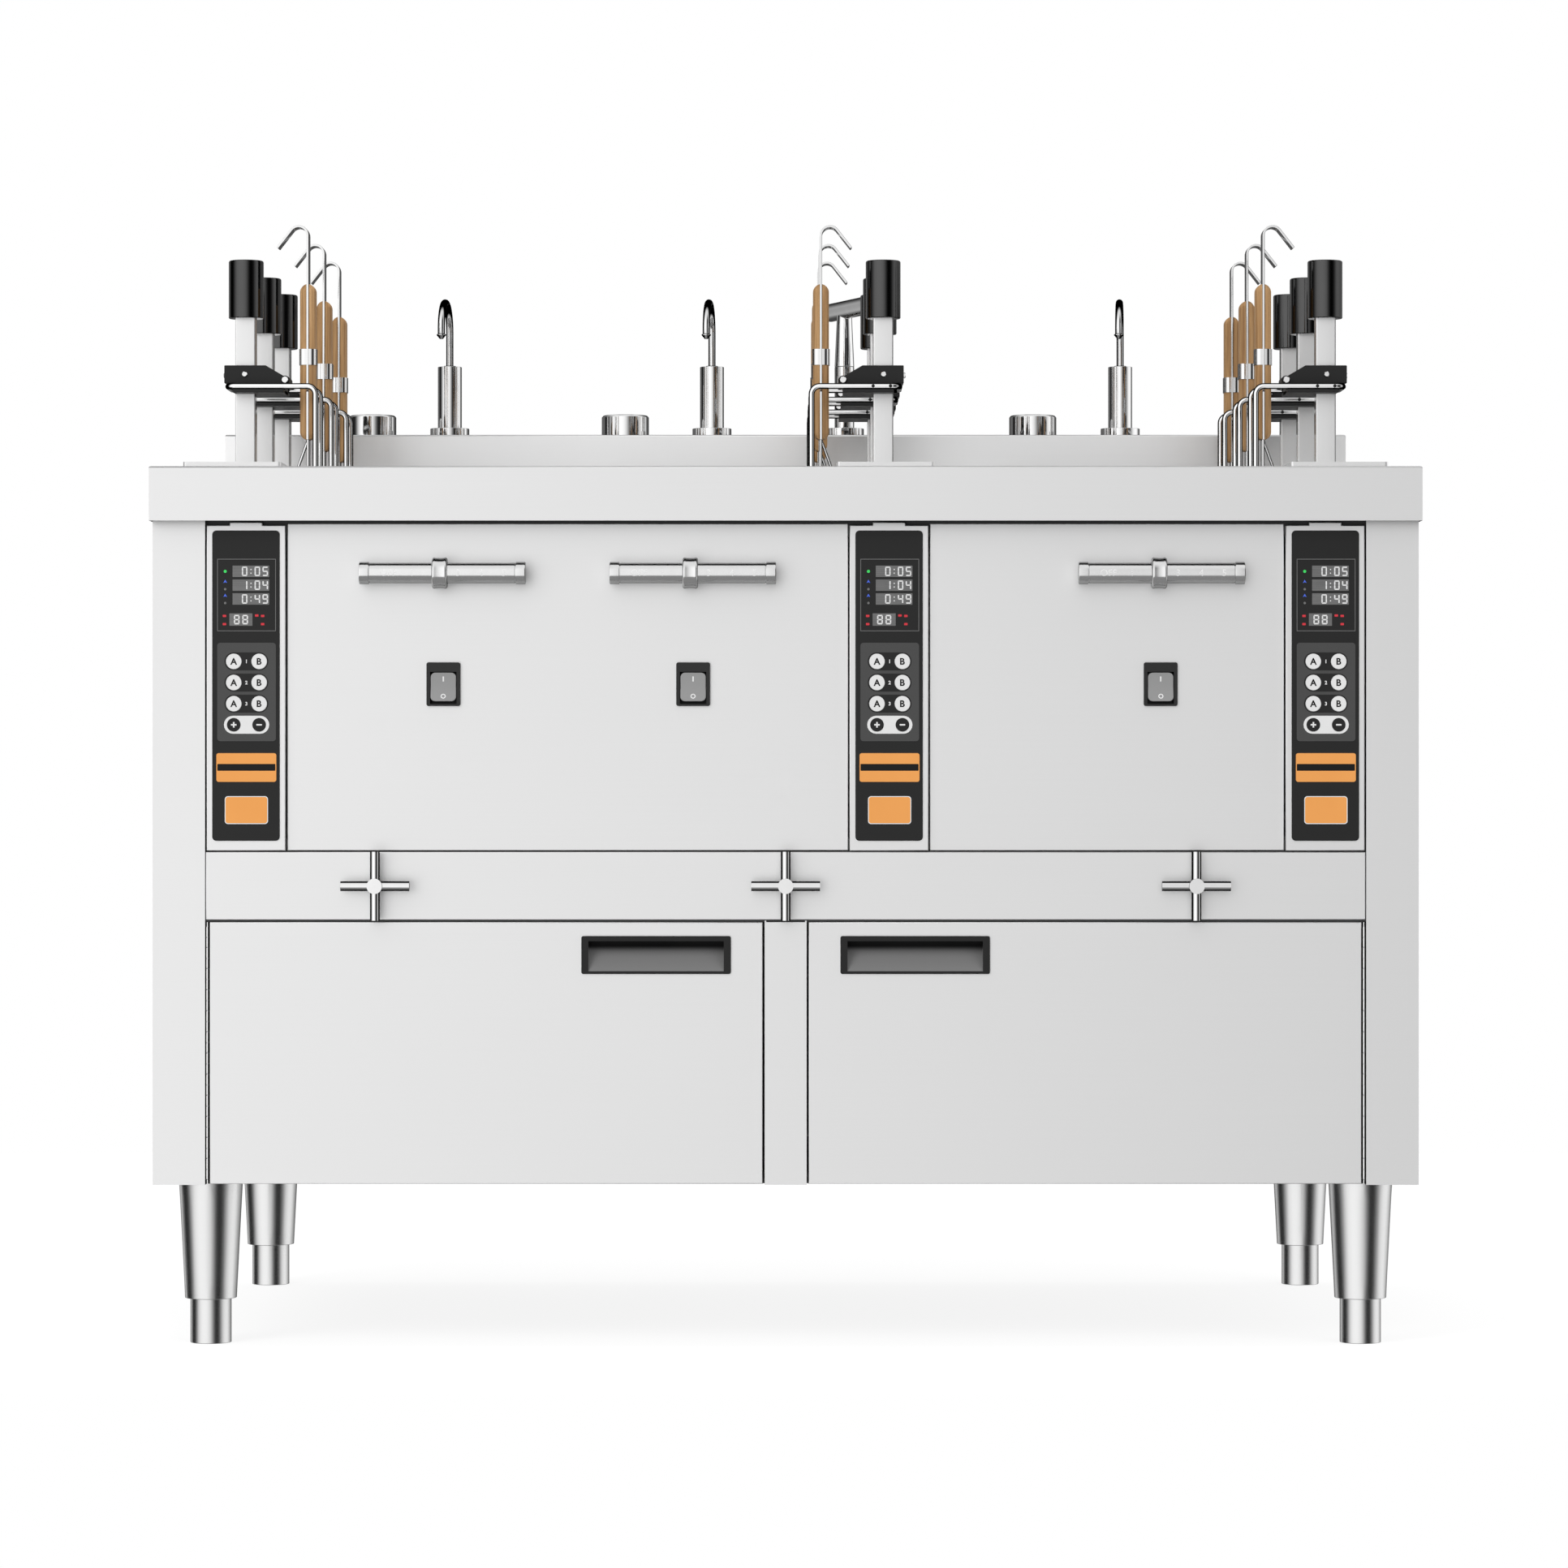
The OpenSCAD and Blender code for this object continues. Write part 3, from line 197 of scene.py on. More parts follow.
def brushed_sheet(place, low, high, smooth, coarse):
    """Level brushing on upright faces, and brushing along X on flat ones."""
    upright = streaks(place, (5, 5, 1500), 4)
    flat = streaks(place, (5, 1500, 5), 4)
    grain = between(looking(place, "Z"), upright, flat)
    mixed = (grain * 0.7 + specks(place, 3, 2) * 0.3).clamped()
    return surface(blend(mixed, low, high), between(mixed, smooth, coarse), relief(grain, 0.04, 0.0001))


def brushed_up(place, low, high, smooth, coarse):
    """Upright brushing, for the square posts, which are smoother on their sides and have painted shade that
    darkens their sides.
    """
    grain = streaks(place, (1200, 1200, 6), 4)
    sideways = looking(place, "X")
    # Painted shade: the colour falls towards dark grey on the faces that look sideways.
    colour = blend(sideways * 0.7, blend(grain, low, high), 0.4)
    roughness = between(grain, smooth, coarse) * (1.0 - 0.7 * sideways)
    return surface(colour, roughness, relief(grain, 0.05, 0.0001))


def turned_metal(place, low, high, smooth, coarse):
    """Fine tool marks that go round an upright turned piece."""
    marks = streaks(place, (8, 8, 1800), 2)
    smear = specks(place, 18, 3)
    roughness = between(marks * 0.5 + smear * 0.5, smooth, coarse)
    return surface(blend(marks, low, high), roughness, relief(marks, 0.012, 0.0001))


def polished(place, bright, dim, smooth, coarse, turn, gone):
    """Polished rod, with painted dark reflections: its colour darkens where it turns away both from the view
    and from the part's front.
    """
    smear = specks(place, 70, 3)
    away = place.node("ShaderNodeLayerWeight", out="Facing")
    aside = 1.0 - looking(place, "Y")
    # Painted reflection: the colour falls from bright to dim at the rod's edges.
    edge = step_between(place.maths("MINIMUM", away, aside), turn, gone)
    return surface(blend((edge + 0.1 * smear).clamped(), bright, dim), between(smear, smooth, coarse))


def moulded(place, low, high, smooth=0.4, coarse=0.5, fineness=1600, strength=0.02):
    """Plastic, paint, film or print, with a fine grain and slightly uneven gloss."""
    grain = specks(place, fineness, 2)
    cloud = specks(place, 14, 3)
    return surface(blend(cloud, low, high), between(cloud, smooth, coarse), relief(grain, strength, 0.0002))


def handle_wood(place):
    """Straight grain that runs up the handle, with darker pores."""
    wander = streaks(place, (30, 30, 6), 2)
    bands = streaks(place, (420, 420, 9), 3)
    pores = streaks(place, (1500, 1500, 40), 2)
    tone = (bands * 0.75 + wander * 0.35 - 0.05).clamped()
    colours = [(0.30, (0.25, 0.125, 0.047)), (0.5, (0.46, 0.265, 0.115)), (0.70, (0.62, 0.385, 0.19))]
    body = tone.node("ShaderNodeValToRGB", {"Fac": tone}, stops=colours)
    dark = ((0.62 - pores).clamped() * 1.4).clamped()
    colour = blend(dark * 0.65, body, (0.15, 0.072, 0.030))
    return surface(colour, 0.42 + 0.2 * bands, relief(bands + pores * 0.5, 0.12, 0.0004))


def shaded_tray(place):
    """The pull's tray, grey, with a painted shadow that turns it black under its top edge; lower down it
    slopes out into the light and stays grey.
    """
    painted_shadow_z, painted_shadow_end_z = 0.3925, 0.3865
    cloud = specks(place, 14, 3)
    # Painted shadow: black near the top of the tray, grey below it.
    light = (step_between(place.along("Z"), painted_shadow_z, painted_shadow_end_z) + 0.06 * cloud).clamped()
    grain = specks(place, 1000, 2)
    return surface(blend(light, 0.001, 0.20), 0.46 + 0.1 * cloud, relief(grain, 0.08, 0.0002))


def hinge_barrel(place):
    """A piano hinge, with a painted highlight along the middle of its barrel and painted shade beside it."""
    painted_highlight_half, painted_shade_from = 0.0005, 0.0011
    aside = abs(abs(place.along("X")) - HINGE_X / 1000)
    # Painted highlight and shade: bright along the barrel's middle, near black beside it.
    colour = blend(step_between(aside, painted_highlight_half, painted_shade_from), 0.88, 0.008)
    return surface(colour, 0.20 + 0.1 * specks(place, 70, 3))


def screen_glass(place):
    """A cloudy grey display with fine level lines."""
    lines = streaks(place, (9, 9, 2600), 1)
    cloud = streaks(place, (40, 40, 60), 2)
    return surface(blend((cloud * 0.7 + lines * 0.3).clamped(), 0.085, 0.19), 0.22 + 0.1 * lines)


def gloss(level):
    return {"Specular IOR Level": level}


METAL = {"Metallic": 1.0}
DARK_RIM = {**METAL, "Specular Tint": shade(0.0)}

# Each finish: its material's name, the shader's constants, and its kind with that function's values
FINISHES = {
    "sheet": ("brushed_sheet", METAL, brushed_sheet, 0.86, 0.90, 0.44, 0.52),
    # Painted shade: the brushed sheet made darker for faces that look sideways.
    "side": ("brushed_side_painted_shade", METAL, brushed_sheet, 0.66, 0.70, 0.44, 0.52),
    # Painted light: the brushed sheet made lighter and smoother for the rear ledge.
    "ledge": ("brushed_ledge_painted_light", METAL, brushed_sheet, 0.89, 0.93, 0.34, 0.40),
    "post": ("brushed_post", METAL, brushed_up, 0.86, 0.90, 0.44, 0.52),
    # Painted shade: near-black steel for faces that lie in shade behind the seams and under the worktop.
    "inner": ("inner_steel", {"Metallic": 0.7}, moulded, 0.05, 0.075, 0.5, 0.62, 400, 0.1),
    # Painted shade: the brushed sheet made darker inside the cupboard.
    "cupboard_shade": ("cupboard_painted_shade", METAL, brushed_sheet, 0.50, 0.56, 0.46, 0.56),
    # Finishes that use polished have painted dark reflections: their colour darkens towards their edges.
    "chrome": ("polished_steel", METAL, polished, 0.80, 0.012, 0.05, 0.09, 0.36, 0.68),
    "handle": ("polished_handle", DARK_RIM, polished, 0.78, 0.002, 0.05, 0.08, 0.15, 0.32),
    "rod": ("polished_rod", DARK_RIM, polished, 0.90, 0.002, 0.05, 0.09, 0.12, 0.28),
    "barrel": ("polished_barrel", METAL, polished, 0.84, 0.06, 0.05, 0.09, 0.44, 0.80),
    "hinge": ("piano_hinge", METAL, hinge_barrel),
    "satin": ("satin_bar", METAL, polished, 0.76, 0.04, 0.14, 0.20, 0.48, 0.82),
    "leg": ("turned_leg", METAL, turned_metal, 0.62, 0.65, 0.20, 0.25),
    "wire": ("strainer_wire", METAL, polished, 0.70, 0.03, 0.12, 0.20, 0.45, 0.82),
    "cap": ("cap_black", METAL, polished, 0.082, 0.0, 0.09, 0.13, 0.12, 0.62),
    "bracket": ("bracket_black", gloss(0.3), moulded, 0.008, 0.014, 0.42, 0.56, 1100, 0.18),
    "film": ("keypad_film", gloss(0.25), moulded, 0.012, 0.016, 0.40, 0.48, 1600, 0.03),
    "key_area": ("key_area_grey", gloss(0.4), moulded, 0.052, 0.066, 0.42, 0.5, 1600, 0.03),
    "pill": ("key_pill_dark", gloss(0.25), moulded, 0.012, 0.017, 0.4, 0.5, 1600, 0.03),
    "white": ("white_print", gloss(0.4), moulded, 0.80, 0.88),
    "ink": ("dark_print", gloss(0.2), moulded, 0.004, 0.008),
    "line": ("line_grey", gloss(0.4), moulded, 0.14, 0.18),
    "orange": ("orange_print", gloss(0.4), moulded, (0.88, 0.36, 0.085), (0.96, 0.42, 0.11)),
    "green": ("lamp_green", gloss(0.5), moulded, (0.03, 0.66, 0.10), (0.05, 0.78, 0.15), 0.3, 0.4, 900),
    "blue": ("lamp_blue", gloss(0.5), moulded, (0.05, 0.12, 0.72), (0.08, 0.17, 0.84), 0.3, 0.4, 900),
    "red": ("lamp_red", gloss(0.5), moulded, (0.62, 0.015, 0.03), (0.74, 0.03, 0.05), 0.3, 0.4, 900),
    "screen": ("screen_glass", gloss(0.5), screen_glass),
    "frame_black": ("switch_black", gloss(0.4), moulded, 0.008, 0.012, 0.36, 0.46, 1200, 0.06),
    "key_grey": ("switch_grey", gloss(0.4), moulded, 0.28, 0.33, 0.42, 0.52, 1200, 0.05),
    "pull": ("pull_black", gloss(0.3), moulded, 0.008, 0.013, 0.42, 0.52, 1000, 0.10),
    "tray": ("pull_tray", gloss(0.15), shaded_tray),
    "wood": ("handle_wood", gloss(0.35), handle_wood),
    "housing": ("drive_housing", {"Metallic": 0.6}, moulded, 0.30, 0.38, 0.45, 0.6, 500, 0.15),
    "coil": ("coil_tray", {}, moulded, 0.030, 0.045, 0.5, 0.65, 500, 0.15),
    "box": ("power_box", {}, moulded, (0.25, 0.28, 0.31), (0.30, 0.33, 0.36), 0.42, 0.55, 700, 0.1),
    "brass": ("drain_brass", METAL, moulded, (0.56, 0.40, 0.19), (0.66, 0.49, 0.25), 0.32, 0.5, 350, 0.2),
}
finishes = {name: make_finish(*recipe) for name, recipe in FINISHES.items()}


# Shapes, built in millimetres

SHARP_FROM = radians(38)


def shift(*place):
    return Matrix.Translation(place)


def spin(angle, axis):
    """A turn about an axis, in degrees."""
    return Matrix.Rotation(radians(angle), 4, axis)


def put_object(name, data):
    obj = bpy.data.objects.new(name, data)
    scene.collection.objects.link(obj)
    return obj


def evaluated_mesh(obj):
    """A plain mesh of an object with its modifiers or its text worked out."""
    return bpy.data.meshes.new_from_object(obj.evaluated_get(bpy.context.evaluated_depsgraph_get()))


class Bench:
    """Collects the parts of one piece and turns them into one object."""

    def __init__(self, *used):
        self.used = used
        self.mesh = bmesh.new()

    def add(self, part, finish, where=None, closed=True):
        """Moves a finished part, a bmesh, onto the bench. A closed part has its faces turned outwards."""
        if where is not None:
            part.transform(where)
        part.normal_update()
        if closed:
            bmesh.ops.recalc_face_normals(part, faces=part.faces)
        for face in part.faces:
            face.material_index = self.used.index(finish)
            face.smooth = True
        held = bpy.data.meshes.new("held")
        part.to_mesh(held)
        part.free()
        self.mesh.from_mesh(held)
        bpy.data.meshes.remove(held)

    def refinish(self, old, new, picked):
        """Gives the faces of one finish that are picked, by centre and normal, another finish."""
        for face in self.mesh.faces:
            if self.used[face.material_index] == old and picked(face.calc_center_median(), face.normal):
                face.material_index = self.used.index(new)

    def piece(self, node, where=None, ending="dressed", even=True, beside=None):
        """Makes one object, in metres, in place of a CAD node, or beside it under a name of its own."""
        name = beside or f"{node}_{ending}"
        mesh = bpy.data.meshes.new(name)
        self.mesh.to_mesh(mesh)
        mesh.transform(TO_METRES @ (where or Matrix()))
        for finish in self.used:
            mesh.materials.append(finishes[finish])
        obj = put_object(name, mesh)
        if even:
            mesh.set_sharp_from_angle(angle=SHARP_FROM)
            obj.modifiers.new("even_normals", "WEIGHTED_NORMAL").keep_sharp = True
            obj.data = evaluated_mesh(obj)
            obj.modifiers.clear()
            obj.data.name = name
        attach(obj, body_of_node[node])
        if not beside:
            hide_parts(node)


def mesh_part(mesh):
    part = bmesh.new()
    part.from_mesh(mesh)
    return part


def rounded_edges(part, edges, width, steps):
    return bmesh.ops.bevel(part, geom=edges, offset=width, segments=steps, profile=0.5, affect="EDGES",
                           clamp_overlap=True)


def sharp_edges(part, angle):
    return [e for e in part.edges if e.is_manifold and e.calc_face_angle(0) > radians(angle)]


def soften(part, width, from_angle=40, steps=2):
    """Rounds the edges of a part that turn by more than an angle."""
    if width:
        rounded_edges(part, sharp_edges(part, from_angle), width, steps)
    return part


def loft(rings, ends=True, meet=None):
    """Faces from ring to ring of points, where a ring may be one point, with flat faces at the ends.

    With meet, the last ring goes on to the first one, which starts that many points later.
    """
    part = bmesh.new()
    rings = [[part.verts.new(p) for p in ring] for ring in rings]
    if meet is not None:
        rings.append(rings[0][meet:] + rings[0][:meet])
    for low, high in zip(rings, rings[1:]):
        steps = max(len(low), len(high))
        for i in range(steps):
            j = (i + 1) % steps
            corners = [low[i % len(low)], low[j % len(low)], high[j % len(high)], high[i % len(high)]]
            part.faces.new(list(dict.fromkeys(corners)))
    for ring in (rings[0], rings[-1]):
        if ends and meet is None and len(ring) > 1:
            part.faces.new(ring)
    bmesh.ops.recalc_face_normals(part, faces=part.faces)
    return part


def arc(r, start, end, steps, at=(0, 0)):
    """Points along an arc between two angles in degrees, with both ends."""
    turn = [radians(start + (end - start) * k / steps) for k in range(steps + 1)]
    return [(at[0] + r * cos(t), at[1] + r * sin(t)) for t in turn]


def circle_outline(r, at=(0, 0), steps=32):
    return arc(r, 0, 360, steps, at)[:-1]


def round_outline(w, h, r, steps=5, at=(0, 0)):
    """A rectangle with round corners, or with cut corners if they have one step."""
    points = []
    for x, z, a in ((1, 1, 0), (-1, 1, 90), (-1, -1, 180), (1, -1, 270)):
        points += arc(r, a, a + 90, steps, (at[0] + x * (w / 2 - r), at[1] + z * (h / 2 - r)))
    return points


def mirrored(profile):
    """A profile's points on the other side of its middle, in the order that closes it."""
    return [(r, -h) for r, h in profile[::-1]]


def block(low, high, edge):
    part = bmesh.new()
    size = Vector(high) - Vector(low)
    middle = (Vector(high) + Vector(low)) / 2
    bmesh.ops.create_cube(part, size=1, matrix=shift(*middle) @ Matrix.Diagonal((*size, 1)))
    return soften(part, edge)


def plate(outline, y0, y1, edge=0.0):
    """An outline of X and Z points, thick from y0 to y1."""
    part = bmesh.new()
    back, front = ([part.verts.new((x, y, z)) for x, z in outline] for y in (y1, y0))
    part.faces.new(back)
    part.faces.new(front[::-1])
    for i in range(len(outline)):
        j = (i + 1) % len(outline)
        part.faces.new((back[i], front[i], front[j], back[j]))
    bmesh.ops.recalc_face_normals(part, faces=part.faces)
    return soften(part, edge, 50)


def turned(profile, axis="Z", at=(0, 0, 0), steps=48, closed=False):
    """A profile of radius and height points, turned about an axis."""
    rings = [[(x, y, h) for x, y in (circle_outline(r, steps=steps) if r else [(0, 0)])] for r, h in profile]
    part = loft(rings, meet=0 if closed else None)
    turn = {"Z": Matrix(), "X": spin(90, "Y"), "Y": spin(-90, "X")}
    part.transform(shift(*at) @ turn[axis])
    return part


def swept(path, r, sides=12, closed=False):
    """A round bar along a path of points."""
    points = [Vector(p) for p in path]
    count = len(points)
    rings = []
    side = None
    for i, point in enumerate(points):
        before = points[i - 1] if i or closed else point
        after = points[(i + 1) % count] if i < count - 1 or closed else point
        along = (after - before).normalized()
        if side is None:
            side = along.orthogonal().normalized()
        side = (side - along * side.dot(along)).normalized()
        up = along.cross(side)
        rings.append([point + side * x + up * y for x, y in circle_outline(r, steps=sides)])
    nearest = min(range(sides), key=lambda k: (rings[0][k] - rings[-1][0]).length)
    return loft(rings, meet=nearest if closed else None)


def bent(corners, bend, closed=False, steps=6):
    """The corners of a path, each rounded to a bend radius."""
    corners = [Vector(c) for c in corners]
    path = []
    for i, corner in enumerate(corners):
        if not closed and i in (0, len(corners) - 1):
            path.append(corner)
            continue
        before, after = ((corners[k % len(corners)] - corner).normalized() for k in (i - 1, i + 1))
        half = before.angle(after) / 2
        centre = corner + (before + after).normalized() * bend / sin(half)
        a, b = (corner + way * bend / tan(half) - centre for way in (before, after))
        whole = a.angle(b)
        for k in range(steps + 1):
            t = whole * k / steps
            path.append(centre + (a * sin(whole - t) + b * sin(t)) / sin(whole))
    return path


def lettering(words, height, at, bold=0.0):
    """Plain lettering as a flat mesh in X and Z, centred on a point."""
    curve = bpy.data.curves.new("lettering", "FONT")
    curve.body = words
    curve.offset = bold
    curve.resolution_u = 4
    mesh = evaluated_mesh(put_object("lettering", curve))
    bpy.data.curves.remove(curve)
    flat = mesh_part(mesh)
    bpy.data.meshes.remove(mesh)
    bmesh.ops.remove_doubles(flat, verts=flat.verts, dist=1e-6)
    low, high = (Vector(map(end, zip(*(v.co for v in flat.verts)))) for end in (min, max))
    for v in flat.verts:
        across = (v.co - (low + high) / 2) * height / (high.y - low.y)
        v.co = Vector((at[0] + across.x, 0, at[1] + across.y))
    return flat


def face_front(flat):
    """Turns the faces of lettering towards the front."""
    flat.normal_update()
    bmesh.ops.reverse_faces(flat, faces=[f for f in flat.faces if f.normal.y > 0])


def lifted(flat, rise):
    """Flat lettering, given a little thickness towards the front."""
    face_front(flat)
    grown = bmesh.ops.extrude_face_region(flat, geom=flat.faces[:])
    for v in grown["geom"]:
        if isinstance(v, bmesh.types.BMVert):
            v.co.y = -rise
    return flat


def merged_cad(node):
    """A copy of a CAD node in millimetres, with its double vertices merged."""
    part = mesh_part(cad_nodes[node].data)
    part.transform(TO_MILLIMETRES)
    bmesh.ops.remove_doubles(part, verts=part.verts, dist=0.004)
    return part


def softened_cad(node, width, from_angle=40):
    """A copy of a CAD node with flat faces joined and edges rounded."""
    part = merged_cad(node)
    bmesh.ops.dissolve_limit(part, angle_limit=radians(0.4), verts=part.verts, edges=part.edges)
    return soften(part, width, from_angle)


# Repeated pieces, made with geometry nodes

SOCKET_KINDS = {float: "NodeSocketFloat", int: "NodeSocketInt", bpy.types.Material: "NodeSocketMaterial"}


def node_tree(name, inputs):
    """A geometry tree with a named input of each value's kind. Returns a lead to its inputs."""
    tree = bpy.data.node_groups.new(name, "GeometryNodeTree")
    tree.interface.new_socket("Geometry", in_out="OUTPUT", socket_type="NodeSocketGeometry")
    for label, value in inputs.items():
        tree.interface.new_socket(label, in_out="INPUT", socket_type=SOCKET_KINDS[type(value)])
    return Lead(tree, tree.nodes.new("NodeGroupInput").outputs[0])


def joined(given, *parts):
    whole = given.node("GeometryNodeJoinGeometry")
    for part in parts:
        given.tree.links.new(part.socket, whole.socket.node.inputs[0])
    return whole


def put_out(given, *parts):
    """Joins the parts, gives them the finish and sends them to the tree's output. Returns the tree."""
    real = given.node("GeometryNodeRealizeInstances", {"Geometry": joined(given, *parts)})
    dressed = given.node("GeometryNodeSetMaterial", {
        "Geometry": real, "Material": given.other("Finish")})
    given.tree.links.new(dressed.socket, given.tree.nodes.new("NodeGroupOutput").inputs[0])
    return given.tree


def grown_mesh(tree, values):
    """Runs a tree with its inputs set and returns a plain mesh."""
    holder = put_object("holder", bpy.data.meshes.new("holder"))
    modifier = holder.modifiers.new("grow", "NODES")
    modifier.node_group = tree
    for item in tree.interface.items_tree:
        if item.in_out == "INPUT":
            modifier[item.identifier] = values[item.name]
    mesh = evaluated_mesh(holder)
    bpy.data.objects.remove(holder)
    return mesh


def vector(start, x=0.0, y=0.0, z=0.0):
    return start.node("ShaderNodeCombineXYZ", {"X": x, "Y": y, "Z": z})


def copies(points, what, **sockets):
    return points.node("GeometryNodeInstanceOnPoints", {"Points": points, "Instance": what, **sockets})


def basket_tree(values):
    """A woven cup: hoops up the wall, uprights that turn in at the foot, and a ringed floor."""
    hub = 8.0
    given = node_tree("woven_basket", values)
    radius, height, inset, wire, hoop_count, count, rings = map(given.other, (
        "Radius", "Height", "Foot Inset", "Wire Radius", "Hoops", "Uprights", "Floor Rings"))
    index = given.node("GeometryNodeInputIndex")
    foot_top = inset * 1.5
    floor_r = radius - inset

    def circle(steps, r):
        return given.node("GeometryNodeCurvePrimitiveCircle", {"Resolution": steps, "Radius": r})

    profile = circle(4, wire)

    def wired(curves):
        return given.node("GeometryNodeCurveToMesh", {"Curve": curves, "Profile Curve": profile})

    def line(r0, z0, r1, z1):
        return given.node("GeometryNodeCurvePrimitiveLine", {
            "Start": vector(given, r0, 0.0, z0), "End": vector(given, r1, 0.0, z1)})

    def stack(how_many, low, high):
        ends = {"Start Location": vector(given, z=low), "Offset": vector(given, z=high)}
        return given.node("GeometryNodeMeshLine", {"Count": how_many, **ends}, mode="END_POINTS")

    def round_axis(how_many, what):
        turn = vector(given, z=index * (2 * pi) / how_many)
        return copies(stack(how_many, 0.0, 0.0), what, Rotation=turn)

    levels = stack(hoop_count, foot_top, height)
    hoops = copies(levels, wired(circle(56, radius)))
    upright = joined(given, line(radius, foot_top, radius, height), line(floor_r, wire, radius, foot_top))
    uprights = round_axis(count, wired(upright))
    spokes = round_axis(given.maths("ROUND", count / 3), wired(line(hub, wire, floor_r, wire)))
    width = hub + (floor_r - hub) * index / (rings - 1)
    flat_rings = copies(stack(rings, wire, wire), circle(40, 1.0), Scale=vector(given, width, width, 1.0))
    floor = wired(given.node("GeometryNodeRealizeInstances", {"Geometry": flat_rings}))
    return put_out(given, hoops, uprights, spokes, floor)


def key_bank_tree(values):
    """Rows and columns of round keys that taper a little."""
    taper = 0.95
    given = node_tree("key_bank", values)
    width, height, columns, rows, radius, rise = map(given.other, (
        "Width", "Height", "Columns", "Rows", "Key Radius", "Key Rise"))
    spots = given.node("GeometryNodeMeshGrid", {
        "Size X": width, "Size Y": height, "Vertices X": columns, "Vertices Y": rows})
    key = given.node("GeometryNodeMeshCone", {
        "Vertices": 40, "Radius Top": radius * taper, "Radius Bottom": radius, "Depth": rise})
    return put_out(given, copies(spots, key))


# Cabinet: CAD nodes that keep their shape

# The least turn of a folded edge in degrees, and lengths that tell vertices and faces apart
FOLD_FROM = 57.3
NEAR, SKIN, SEAM_DEPTH, POST_HOLE = 0.05, 1.4, 40, 40
CAD_FINISH = {
    "side_panels": "sheet", "chassis": "sheet", "back_panel": "sheet", "vats": "sheet", "keypads": "film",
    "door_hinges": "hinge", "lift_drives": "housing", "coil_trays": "coil", "power_boxes": "box",
    "drain_pipes": "brass", "service_inlets": "chrome",
}
for node, finish in CAD_FINISH.items():
    cad_nodes[node].data.materials[0] = finishes[finish]


def inner_faces(node, outside):
    """Gives a cabinet node its inner faces: near-black steel behind the front's seams and a mid-grey copy of
    the sheet in the cupboard, both painted shade.
    """
    mesh = cad_nodes[node].data
    used = ("sheet", "inner", "side", "cupboard_shade")
    for finish in used[1:]:
        mesh.materials.append(finishes[finish])
    for face in mesh.polygons:
        centre = face.center * 1000
        if outside(centre, face.normal):
            # Outer faces that look sideways take the darker copy of the sheet, painted shade.
            finish = "side" if abs(face.normal.x) > 0.5 else "sheet"
        else:
            # Painted shade: near black just behind the seams, mid grey deeper in the cupboard.
            finish = "inner" if centre.y < BODY_Y + SEAM_DEPTH else "cupboard_shade"
        face.material_index = used.index(finish)


def is_front(c, n):
    return n.y < -0.5 and c.y < BODY_Y + 0.5


inner_faces("chassis", is_front)
inner_faces("side_panels", lambda c, n: abs(c.x) > SIDE_X - NEAR or is_front(c, n))


def folded_sheet(node, width, picked, outside=None, finish="sheet", beyond="inner"):
    """A CAD sheet with a folded radius on the edges that are picked, and a finish for what isn't outside, by
    default the near-black steel of painted shade.
    """
    part = merged_cad(node)
    edges = [e for e in sharp_edges(part, FOLD_FROM) if all(map(picked, e.verts))]
    for face in rounded_edges(part, edges, width, 3)["faces"]:
        face.smooth = True
    bench = Bench(finish, beyond, "side")
    bench.mesh = part
    part.normal_update()
    if outside:
        bench.refinish(finish, beyond, lambda c, n: not outside(c, n))
        # Outside faces that look sideways take the darker copy of the sheet, painted shade.
        bench.refinish(finish, "side", lambda c, n: abs(n.x) > 0.9)
    bench.piece(node, ending="folded", even=False)


def top_rim(node):
    """Picks the vertices on the outer rim of a node's top."""
    low, high = box_mm(node)

    def picked(v):
        inset = min(min(v.co[i] - low[i], high[i] - v.co[i]) for i in (0, 1))
        return inset < NEAR and v.co.z > high.z - NEAR
    return picked


def front_plane(y):
    """Picks the vertices on a front plane and before it."""
    return lambda v: v.co.y < y + NEAR


def worktop_outside(c, n):
    beside = abs(c.x) > WORKTOP_HIGH.x - NEAR or abs(c.y) > WORKTOP_HIGH.y - NEAR
    return beside or c.z > WORKTOP_HIGH.z - SKIN


def deck_rim(v):
    """Picks the vertices on the rim of a deck plate's top, not those round its posts."""
    return v.co.z > DECK_TOP - NEAR and min(abs(v.co.x - x) for x in LIFT_X.values()) > POST_HOLE


folded_sheet("worktop", 1.6, top_rim("worktop"), worktop_outside)
folded_sheet("rear_ledge", 1.6, top_rim("rear_ledge"), lambda c, n: True, "ledge")
folded_sheet("deck_plates", 1.2, deck_rim)
folded_sheet("front_panels", 0.7, front_plane(PANEL_Y))
for node in ("control_columns", "valve_strip"):
    folded_sheet(node, 0.7, front_plane(BODY_Y))
# The doors' faces beyond their edge take the hinge finish, with its painted highlight and shade.
for side in DOORS:
    folded_sheet(f"door_{side}", 0.7, front_plane(BODY_Y), lambda c, n: abs(c.x) < DOOR_EDGE, beyond="hinge")

ROUNDED = {
    "leg_sockets": ("leg", 0.6), "feet": ("leg", 0.6), "tap_bodies": ("chrome", 0.4),
    "filler_spout": ("barrel", 0.4), "switch_frames": ("frame_black", 0.4),
    **{f"tap_knob_{s}": ("chrome", 0.5) for s in SIDES},
    **{f"drain_handle_{s}": ("handle", 0.4) for s in SIDES},
}
for node, (finish, edge) in ROUNDED.items():
    bench = Bench(finish)
    bench.add(softened_cad(node, edge), finish)
    bench.piece(node, ending="rounded")


# Gooseneck spouts

TAP_Y, TAP_TOP, SPOUT_TURN = 321, 1010, -5
SPOUT_BEND, SPOUT_RISE, SPOUT_DROP, SPOUT_R = 31, 37, 11, 4


